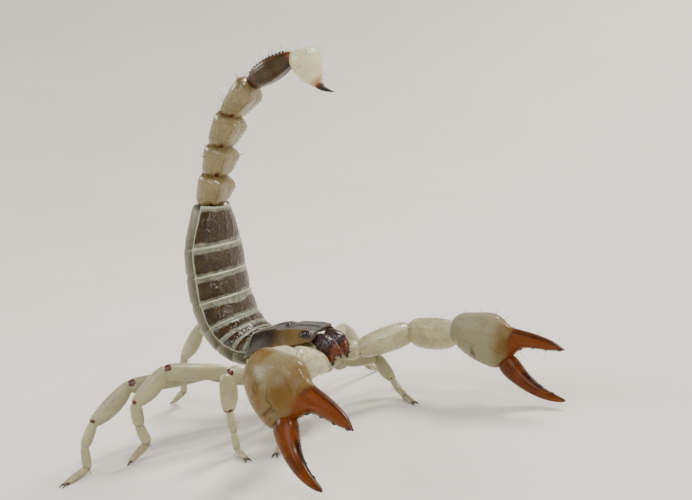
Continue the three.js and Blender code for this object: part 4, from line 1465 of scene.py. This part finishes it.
def arm_run(side_name):
    sign = MIRROR[side_name]
    stance, _ = ARM_STANCES[side_name]
    bends = [
        (sign * heading, pitch, length)
        for (heading, pitch), length in zip(stance, ARM_LENGTHS)
    ]
    return make_run((sign * ARM_ROOT[0], ARM_ROOT[1], ARM_ROOT[2]), bends)


def hand_matrix(side_name, run):
    """A hand's frame: +Z along it, +X towards the movable finger, +Y square to both."""
    sign = MIRROR[side_name]
    roll = math.radians(ARM_STANCES[side_name][1])
    hand = run[3]
    outward = -sign * math.cos(roll) * hand["side"] + math.sin(roll) * hand["up"]
    thick = sign * np.cross(outward, hand["along"])
    return frame_matrix(hand["start"], outward, thick, hand["along"])


def hand_edges(share):
    """The hand's edges at a share of its length. The one by the movable finger comes last."""
    places, inner, outer, _ = np.array(HAND_EDGES).T
    return np.interp(share, places, inner), np.interp(share, places, outer)


def hand_pattern():
    profile = [
        [at * HAND_LENGTH, (outer - inner) / 2, deep, (outer + inner) / 2, 0]
        for at, inner, outer, deep in HAND_EDGES
    ]
    piece = loft("Palm_pattern", profile, 24, 2)
    rounded(piece, 1)

    def place_hand(x, y, z):
        share = z / HAND_LENGTH
        inner, _ = hand_edges(share)
        near_back = hump(x - inner, 0.0, 0.5)
        keel = 0.14 * near_back * ease(share, 0.1, 0.3) * (1 - ease(share, 0.9, 1.0))
        side_keel = 0.1 * hump(x - inner, 1.1, 0.22) * ease(share, 0.2, 0.4)
        side_keel = side_keel * (1 - ease(share, 0.6, 0.8))
        return x - keel, y * (1 + side_keel), z

    mould(piece, place_hand)
    x, y, z = points_of(piece).T
    share = z / HAND_LENGTH
    inner, outer = hand_edges(share)
    across = np.clip((x - inner) / np.maximum(outer - inner, 0.05), 0, 1)
    border = ease(share, 0.4, 0.46) * ease(x - outer, -0.5, -0.1)
    paint(piece, "tint", np.clip(
        ease(share - 0.06 * (1 - across), 0.48, 0.56) + 0.8 * border + 0.1 * ease(share, 0.2, 0.45),
        0, 1,
    ))
    back = 0.5 * ease(share, 0.5, 0.62) * (1 - ease(across, 0.04, 0.22))
    # A dark line where the fixed finger leaves the palm: partly the shell's own brown line, partly
    # painted shade standing in for a groove.
    root = 0.45 * hump(share - 0.06 * (1 - across), 0.53, 0.035) * (1 - ease(across, 0.3, 0.6))
    bite = 0.6 * ease(share, 0.56, 0.66) * ease(across, 0.86, 0.98)
    tip = 0.55 * ease(share, 0.88, 1.0)
    paint(piece, "mark", np.maximum.reduce([back, root, bite, tip]))
    # A painted pool of light: a paler round patch on the swell of the palm. The +y face near the
    # wrist is its own paler colour.
    disc = 0.45 * (1 - ease(np.hypot((share - 0.31) * 6.5, (across - 0.2) / 0.42), 0.6, 0.95))
    paint(piece, "patch", np.maximum(disc, ease(y, -0.3, 0.4) * (1 - ease(share, 0.4, 0.5))))
    paint(piece, "vein", ease(across, 0.35, 0.7) * (1 - ease(share, 0.42, 0.5)))
    dress(piece, "Hand shell")
    teeth = tooth_row(piece, np.linspace(0.5, 0.97, 26), (1, 0, 0), hand_axis)
    return joined("Palm_pattern", [piece, teeth])


def hand_axis(share):
    """Middle of the hand at a share of its length, across and along."""
    return sum(hand_edges(share)) / 2, share * HAND_LENGTH


def tooth_row(piece, places, outward, axis):
    """Low dark teeth along the biting edge, every sixth one larger."""
    tooth = ball("Tooth", 2)
    dress(tooth, "Bead horn")
    matrices = []
    for i, share in enumerate(places):
        size = 0.2 if i % 6 else 0.38
        x, z = axis(share)
        point, normal = surface_point(piece, (x, 0, z), outward)
        matrices.append(standing_matrix(point, normal, (0.36 * size, 0.5 * size, 0.4 * size)))
    row = stamped("Teeth", tooth, matrices)
    discard(tooth)
    return row


def finger_axis(share):
    """Centre of the movable finger in the hand's frame, and the direction it runs in."""
    base, tip = np.array(FINGER["base"]), np.array(FINGER["tip"])
    along = (tip - base) / np.linalg.norm(tip - base)
    bow = np.array([-along[1], along[0]]) * 2 * FINGER["bow"]
    middle = (base + tip) / 2 + bow
    share = np.asarray(share, dtype=float)[..., None]
    centre = (1 - share) ** 2 * base + 2 * share * (1 - share) * middle + share ** 2 * tip
    run = 2 * (1 - share) * (middle - base) + 2 * share * (tip - middle)
    return centre, run / np.linalg.norm(run, axis=-1, keepdims=True)


def finger_pattern():
    piece = loft("Finger_pattern", FINGER_PROFILE, 16, 3)

    def place_finger(x, y, z):
        centre, run = finger_axis(z)
        # x is measured from the biting edge outwards
        return centre[:, 1] + x * run[:, 0], y, centre[:, 0] - x * run[:, 1]

    x, y, z = points_of(piece).T
    wide = np.interp(z, *np.array(FINGER_PROFILE)[:, [0, 1]].T)
    across = np.clip(0.5 + x / (2 * np.maximum(wide, 0.05)), 0, 1)
    outer = 0.5 * ease(across, 0.82, 0.98) * ease(z, -0.05, 0.1)
    bite = 0.6 * (1 - ease(across, 0.02, 0.12)) * ease(z, 0.15, 0.3)
    tip = 0.55 * ease(z, 0.88, 1.0)
    hinge = 1.1 * hump(z, 0.0, 0.06) * ease(across, 0.65, 0.9)
    paint(piece, "mark", np.maximum.reduce([outer, bite, tip, hinge]))
    mould(piece, place_finger)
    dress(piece, "Finger horn")

    def axis(share):
        centre, _ = finger_axis(share)
        return centre[1], centre[0]

    _, run = finger_axis(0.5)
    teeth = tooth_row(piece, np.linspace(0.16, 0.96, 24), (-run[0], 0, run[1]), axis)
    return joined("Finger_pattern", [piece, teeth])


def make_arm(side_name, patterns):
    sign = MIRROR[side_name]
    run = arm_run(side_name)
    for part, segment in zip(("trochanter", "femur", "patella"), run):
        matrix = segment_matrix(segment, (sign, 1, 1))
        piece = placed_copy(patterns[part], f"Arm_{side_name}_{part}", matrix)
        settle(piece, "ivory_cuticle", f"arm_{side_name}_{part}")
    matrix = hand_matrix(side_name, run)
    wide = Matrix.Diagonal((HAND_SPREAD[side_name], 1, 1, 1))
    palm = placed_copy(patterns["hand"], f"Arm_{side_name}_hand", matrix @ wide)
    settle(palm, "ivory_cuticle", f"arm_{side_name}_hand")
    finger = placed_copy(patterns["finger"], f"Arm_{side_name}_finger", matrix)
    settle(finger, "orange_horn", f"arm_{side_name}_finger")


def arm_patterns():
    patterns = {}
    for part, profile in ARM_PROFILES.items():
        piece = loft(f"Arm_{part}_pattern", profile, 18, 2)
        length = ARM_LENGTHS[list(ARM_PROFILES).index(part)]
        ridged(piece, [(0, 0.05), (62, 0.035), (118, 0.03), (180, 0.04)], length)
        x, y, z = points_of(piece).T
        back_line = hump(np.degrees(np.arctan2(x, y)), 0, 5) * ease(z, 0.3, 1.0)
        paint(piece, "tint", 0.25 * hump(z, length, 0.18) + 0.45 * back_line)
        paint(piece, "mark", nearness(piece, [(-0.7, -0.4, length, 0.25)]))
        dress(piece, "Arm shell")
        patterns[part] = piece
    patterns["hand"] = hand_pattern()
    patterns["finger"] = finger_pattern()
    return patterns


# ------------------------------------------------------------------ underside

def unmarked(piece, tint=0):
    """Puts plain leg shell on a piece, evenly tinted and without hinge marks."""
    paint(piece, "tint", tint)
    paint(piece, "mark", 0)
    dress(piece, "Leg shell")


def make_head_body():
    """Soft body under the head shield, from which the legs and arms come out."""
    def place_body(x, y, z):
        turn = np.arctan2(x, y)
        radius = np.clip(2 * np.hypot(x, y), 0, 1)
        half = spread(HEAD_BODY["half_widths"], z + 0.5)
        wide = radius * half * np.sin(turn)
        depth = np.where(np.cos(turn) > 0, HEAD_BODY["up"], HEAD_BODY["down"])
        high = HEAD_BODY["middle"] + radius * np.cos(turn) * depth
        along = HEAD_BODY["front"] + HEAD_BODY["length"] * (z + 0.5)
        return wide + ORIGIN_MM[0], along + ORIGIN_MM[1], high

    piece = tube("Head_body", 48, 40)
    mould(piece, place_body)
    outwards(piece)
    unmarked(piece, 0.15)
    return settle(piece, "soft_skin")


def merged_copy(node, name):
    select_only(bpy.data.objects[node])
    bpy.ops.object.duplicate()
    piece = newest(name)
    for key in list(piece.keys()):
        del piece[key]
    piece.data.materials.clear()
    bpy.ops.object.mode_set(mode="EDIT")
    bpy.ops.mesh.select_all(action="SELECT")
    bpy.ops.mesh.remove_doubles(threshold=0.001 * MM)
    bpy.ops.mesh.normals_make_consistent(inside=False)
    bpy.ops.object.mode_set(mode="OBJECT")
    return piece


def make_coxal_plate():
    piece = merged_copy("coxal_plate", "Leg_roots")
    apply_modifier(piece, "REMESH", mode="VOXEL", voxel_size=0.13 * MM)
    apply_modifier(piece, "SMOOTH", factor=0.6, iterations=14)
    unmarked(piece)
    return settle(piece, "soft_skin", "coxal_plate")


def make_comb(side_name):
    piece = merged_copy(f"comb_{side_name}", f"Comb_{side_name}")
    apply_modifier(piece, "BEVEL", width=0.07 * MM, segments=2, limit_method="ANGLE")
    unmarked(piece)
    return settle(piece, "ivory_cuticle", f"comb_{side_name}")


# ------------------------------------------------------------------ bristles

def bristle_pattern():
    """One tapered bristle, a millimetre long and a millimetre in radius at its root."""
    deselect()
    bpy.ops.mesh.primitive_cone_add(
        vertices=3, radius1=1 * MM, radius2=0.25 * MM, depth=1 * MM, end_fill_type="TRIFAN",
        location=(0, 0, 0.5 * MM),
    )
    piece = newest("Bristle_pattern")
    bpy.ops.object.transform_apply(location=True)
    return piece


def rooted(skin, count, chance, rng):
    """Random places on a skin. The chance is an array, one number for every face."""
    polygons = skin.data.polygons
    area = np.empty(len(polygons))
    polygons.foreach_get("area", area)
    weights = np.cumsum(area * chance)
    roots = []
    for _ in range(count):
        index = int(np.searchsorted(weights, rng.random() * weights[-1]))
        polygon = polygons[min(index, len(polygons) - 1)]
        corners = [skin.data.vertices[i].co for i in polygon.vertices]
        shares = [rng.random() + 0.05 for _ in corners]
        total = sum(shares)
        point = sum((c * s / total for c, s in zip(corners, shares)), Vector((0, 0, 0)))
        roots.append((point, polygon.normal.copy()))
    return roots


def unwrapped(points, segment):
    """How far round a segment's axis and along it each point lies, both from 0 to 1."""
    offset = np.asarray(points) / MM - segment["start"] - ORIGIN_MM
    around = np.arctan2(offset @ -segment["side"], offset @ segment["up"]) / (2 * math.pi) + 0.5
    return around, np.clip(offset @ segment["along"] / segment["length"], 0, 1)


def make_bristles(name, slot, coats):
    """Scattered bristles. Each coat is (skin, segment, count, longest, where they stand)."""
    pattern = bristle_pattern()
    local = points_of(pattern)
    rng = random.Random(f"{sizes().bristle_seed} {name}")
    columns = math.ceil(math.sqrt(len(coats)))
    radius = sizes().bristle_radius / MM
    longest = sizes().bristle_length / MM
    matrices, patches = [], []
    for index, (skin, segment, count, share, chance) in enumerate(coats):
        centres = np.array([polygon.center for polygon in skin.data.polygons])
        around, along = unwrapped(centres, segment)
        for point, normal in rooted(skin, count, chance(around, along), rng):
            sway = [rng.uniform(-0.35, 0.35) for _ in range(3)]
            lean = segment["along"] * rng.uniform(0.0, 0.6) + sway
            length = longest * share * rng.uniform(0.4, 1.0)
            thick = radius * rng.uniform(0.7, 1.0)
            root = point - normal * 0.03 * MM
            matrix = standing_matrix(root, normal, (thick, thick, length), lean)
            if (matrix @ Vector((0, 0, MM))).z < 0:
                continue  # it would stand in the floor
            matrices.append(matrix)
            u, v = (float(value[0]) for value in unwrapped([point], segment))
            column, row = index % columns, index // columns
            patches.append((
                (column + 0.05 + 0.9 * u) / columns, (row + 0.05 + 0.9 * v) / columns,
            ))
    piece = stamped(name, pattern, matrices)
    layer = piece.data.uv_layers.new(name="OFBake")
    corners = np.empty(len(piece.data.loops), dtype=int)
    piece.data.loops.foreach_get("vertex_index", corners)
    copy, corner = np.divmod(corners, len(local))
    patch = np.array(patches)[copy] + PATCH_SIZE * np.c_[
        0.5 * (local[corner, 0] + 0.4 * local[corner, 1]), local[corner, 2],
    ]
    layer.data.foreach_set("uv", np.clip(patch, 0, 1).ravel())
    discard(pattern)
    dress(piece, "Bristle")
    return settle(piece, slot)


def below(around, along):
    """Chance of a bristle: most on the belly side and the flanks of a segment."""
    return 0.15 + ease(np.abs(around - 0.5), 0.16, 0.36)


def above(around, along):
    return 0.15 + (1 - ease(np.abs(around - 0.5), 0.1, 0.3))


def all_round(around, along):
    return np.ones_like(around)


def in_front(around, along):
    return 1.0 * (along > 0)


# Coats: piece, segment of its run, how many bristles, their length as a share, where they stand.
TAIL_COATS = [
    *((f"Tail_segment_{i + 1}", len(TRUNK) + i, 44, 1.0, below) for i in range(len(TAIL))),
    ("Venom_bulb", len(TRUNK) + len(TAIL), 26, 0.8, below),
    ("Back_plate_7", 6, 14, 0.7, all_round), ("Belly_skin", 5, 60, 0.6, below),
]
ARM_COATS = [
    ("femur", 1, 18, 0.75, above), ("patella", 2, 26, 0.8, above),
    ("hand", 3, 60, 0.8, all_round), ("finger", 3, 22, 0.6, all_round),
]
LEG_COATS = [
    ("femur", 1, 14, 0.42, all_round), ("patella", 2, 16, 0.42, all_round),
    ("foot", 3, 34, 0.42, all_round),
]
HEAD_COATS = [
    ("Head_shield", 0, 26, 0.4, in_front), ("Jaw_left", 0, 26, 0.45, all_round),
    ("Jaw_right", 0, 26, 0.45, all_round),
]
BROW = {  # stands in for a segment, and runs forward from the front of the shield
    **SPINE[0], "start": np.array([0.0, -4.0, 8.5]), "along": np.array([0, -1.0, 0]),
}


def coats_on(run, coats, prefix=""):
    return [
        (bpy.data.objects[prefix + part], run[index], *coat) for part, index, *coat in coats
    ]


def make_all_bristles():
    make_bristles("Bristles_tail", "straw_cuticle", coats_on(SPINE, TAIL_COATS))
    for side_name in MIRROR:
        arm = coats_on(arm_run(side_name), ARM_COATS, f"Arm_{side_name}_")
        make_bristles(f"Bristles_arm_{side_name}", "ivory_cuticle", arm)
        legs = []
        for index in range(len(HIPS)):
            legs += coats_on(leg_run(side_name, index), LEG_COATS, f"Leg_{side_name}_{index + 1}_")
        make_bristles(f"Bristles_legs_{side_name}", "leg_cuticle", legs)
    make_bristles("Bristles_head", "shield", coats_on([BROW], HEAD_COATS))


# ------------------------------------------------------------------ floor, lights and camera

def make_floor():
    """A level floor that sweeps up all round into a soft wall, turned like a bowl."""
    deselect()
    bpy.ops.mesh.primitive_plane_add(size=2 * MM)
    piece = newest("Studio_sweep")
    bpy.ops.object.mode_set(mode="EDIT")
    bpy.ops.mesh.select_all(action="SELECT")
    bpy.ops.mesh.merge(type="CENTER")
    turns = np.linspace(0, math.pi / 2, SWEEP_STEPS + 1)
    bend = SWEEP_RADIUS * np.c_[np.sin(turns), 0 * turns, 1 - np.cos(turns)]
    for step in [(sizes().floor_radius, 0, 0), *np.diff(bend, axis=0), (0, 0, WALL_HEIGHT)]:
        bpy.ops.mesh.extrude_region_move(TRANSFORM_OT_translate={"value": tuple(step)})
    bpy.ops.mesh.select_all(action="SELECT")
    bpy.ops.mesh.spin(steps=96, angle=2 * math.pi, center=(0, 0, 0), axis=(0, 0, 1))
    bpy.ops.mesh.select_all(action="SELECT")
    bpy.ops.mesh.remove_doubles(threshold=0.01 * MM)
    bpy.ops.mesh.normals_make_consistent(inside=True)
    bpy.ops.object.mode_set(mode="OBJECT")
    bpy.ops.object.shade_smooth()
    tree, shader = new_shell("Studio floor", 0.85, specular=0.2)
    tone = colours().floor
    patches = noise(tree, place(tree), 60.0, 3.0)
    base = blend_colours(tree, fade(tree, patches, 0.3, 0.7), tone, darker(tone, 0.03))
    finish_shell(tree, shader, base)
    dress(piece, "Studio floor")


def aim(piece, target):
    """Turns a light so that it faces a point."""
    piece.rotation_euler = (Vector(target) - piece.location).to_track_quat("-Z", "Y").to_euler()


def make_light(name, place_mm, size, power, tint):
    deselect()
    origin = Vector(ORIGIN)
    bpy.ops.object.light_add(type="AREA", location=origin + Vector(place_mm) * MM)
    light = bpy.context.object
    light.name = name
    light.data.shape = "DISK"
    light.data.size = size
    light.data.energy = power
    light.data.color = tint
    light.visible_camera = False
    aim(light, origin + Vector(LIT_POINT) * MM)


def make_lights():
    for name, light in LIGHTS.items():
        make_light(name, *light)
    world = bpy.data.worlds.new("Studio")
    bpy.context.scene.world = world
    world.use_nodes = True
    back = world.node_tree.nodes["Background"]
    back.inputs["Color"].default_value = SKY_TINT
    back.inputs["Strength"].default_value = SKY_STRENGTH


def make_camera():
    deselect()
    bpy.ops.object.camera_add(location=Vector(ORIGIN) + Vector(CAMERA["place"]) * MM)
    camera = bpy.context.object
    camera.name = "Camera"
    camera.data.lens = sizes().lens
    camera.data.sensor_width = 36
    camera.data.clip_start = 0.005
    camera.data.clip_end = 5
    turn = Matrix.Rotation(math.radians(CAMERA["azimuth"]), 4, "Z")
    tilt = Matrix.Rotation(math.radians(90 + CAMERA["pitch"]), 4, "X")
    roll = Matrix.Rotation(math.radians(CAMERA["roll"]), 4, "Z")
    camera.rotation_euler = (turn @ tilt @ roll).to_euler()
    bpy.context.scene.camera = camera


# ------------------------------------------------------------------ operators and panel

class SCORPION_OT_materials(bpy.types.Operator):
    """Makes the shell, horn and bristle materials"""
    bl_idname = "scorpion.materials"
    bl_label = "Materials"
    bl_options = {"REGISTER", "UNDO"}

    def execute(self, context):
        make_materials()
        return {"FINISHED"}


class SCORPION_OT_head(bpy.types.Operator):
    """Makes the head shield, the eyes and the soft body under it"""
    bl_idname = "scorpion.head"
    bl_label = "Head"
    bl_options = {"REGISTER", "UNDO"}

    def execute(self, context):
        shield = make_shield()
        make_head_body()
        for side_name, sign in MIRROR.items():
            for name, centres, node in (
                ("Eye", MIDDLE_EYE, "eye_median"), ("Side_eyes", SIDE_EYES, "eyes_lateral"),
            ):
                row = [(sign * x, y, radius) for x, y, radius in centres]
                make_eye(f"{name}_{side_name}", shield, row, f"{node}_{side_name}")
        return {"FINISHED"}


class SCORPION_OT_jaws(bpy.types.Operator):
    """Makes the two jaws with their fangs"""
    bl_idname = "scorpion.jaws"
    bl_label = "Jaws"
    bl_options = {"REGISTER", "UNDO"}

    def execute(self, context):
        for side_name in MIRROR:
            make_jaw(side_name)
        return {"FINISHED"}


class SCORPION_OT_back_plates(bpy.types.Operator):
    """Makes the seven back plates"""
    bl_idname = "scorpion.back_plates"
    bl_label = "Back plates"
    bl_options = {"REGISTER", "UNDO"}

    def execute(self, context):
        for index in range(len(TRUNK)):
            make_plate(index)
        return {"FINISHED"}


class SCORPION_OT_underside(bpy.types.Operator):
    """Makes the flank and belly skin, the leg roots and the combs"""
    bl_idname = "scorpion.underside"
    bl_label = "Flanks and underside"
    bl_options = {"REGISTER", "UNDO"}

    def execute(self, context):
        make_belly()
        make_coxal_plate()
        for side_name in MIRROR:
            make_comb(side_name)
        return {"FINISHED"}


class SCORPION_OT_tail(bpy.types.Operator):
    """Makes the five tail segments, the venom bulb and the sting"""
    bl_idname = "scorpion.tail"
    bl_label = "Tail and sting"
    bl_options = {"REGISTER", "UNDO"}

    def execute(self, context):
        for index in range(len(TAIL)):
            make_tail_segment(index)
        make_vesicle()
        make_sting()
        return {"FINISHED"}


class SCORPION_OT_legs(bpy.types.Operator):
    """Makes the eight walking legs from one set of patterns"""
    bl_idname = "scorpion.legs"
    bl_label = "Legs"
    bl_options = {"REGISTER", "UNDO"}

    def execute(self, context):
        patterns = leg_patterns()
        for side_name in MIRROR:
            for index in range(len(HIPS)):
                make_leg(side_name, index, patterns)
        discard(*patterns.values())
        return {"FINISHED"}


class SCORPION_OT_arms(bpy.types.Operator):
    """Makes the two pincer arms from one set of patterns"""
    bl_idname = "scorpion.arms"
    bl_label = "Pincer arms"
    bl_options = {"REGISTER", "UNDO"}

    def execute(self, context):
        patterns = arm_patterns()
        for side_name in MIRROR:
            make_arm(side_name, patterns)
        discard(*patterns.values())
        return {"FINISHED"}


class SCORPION_OT_bristles(bpy.types.Operator):
    """Scatters bristles over the tail, the arms, the legs and the head"""
    bl_idname = "scorpion.bristles"
    bl_label = "Bristles"
    bl_options = {"REGISTER", "UNDO"}

    def execute(self, context):
        make_all_bristles()
        return {"FINISHED"}


class SCORPION_OT_stage(bpy.types.Operator):
    """Makes the studio floor, the lights and the camera"""
    bl_idname = "scorpion.stage"
    bl_label = "Stage"
    bl_options = {"REGISTER", "UNDO"}

    def execute(self, context):
        make_floor()
        make_lights()
        make_camera()
        return {"FINISHED"}


OPERATORS = [
    SCORPION_OT_materials, SCORPION_OT_head, SCORPION_OT_jaws, SCORPION_OT_back_plates,
    SCORPION_OT_underside, SCORPION_OT_tail, SCORPION_OT_legs, SCORPION_OT_arms,
    SCORPION_OT_bristles, SCORPION_OT_stage,
]


class SCORPION_PT_build(bpy.types.Panel):
    """Colours, sizes and building steps of the scorpion"""
    bl_idname = "SCORPION_PT_build"
    bl_label = "Scorpion"
    bl_space_type = "VIEW_3D"
    bl_region_type = "UI"
    bl_category = "Scorpion"

    def draw(self, context):
        column = self.layout.column(align=True)
        for group in (context.scene.scorpion_colours, context.scene.scorpion_sizes):
            for name in group.__annotations__:
                column.prop(group, name)
        for operator in OPERATORS:
            column.operator(operator.bl_idname)


CLASSES = [ScorpionColours, ScorpionSizes, *OPERATORS, SCORPION_PT_build]


def register():
    for item in CLASSES:
        bpy.utils.register_class(item)
    bpy.types.Scene.scorpion_colours = PointerProperty(type=ScorpionColours)
    bpy.types.Scene.scorpion_sizes = PointerProperty(type=ScorpionSizes)


def unregister():
    del bpy.types.Scene.scorpion_sizes
    del bpy.types.Scene.scorpion_colours
    for item in reversed(CLASSES):
        bpy.utils.unregister_class(item)


def main():
    register()
    deselect()
    for operator in OPERATORS:
        getattr(bpy.ops.scorpion, operator.bl_idname.split(".")[1])()
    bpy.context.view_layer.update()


if __name__ == "__main__":
    main()
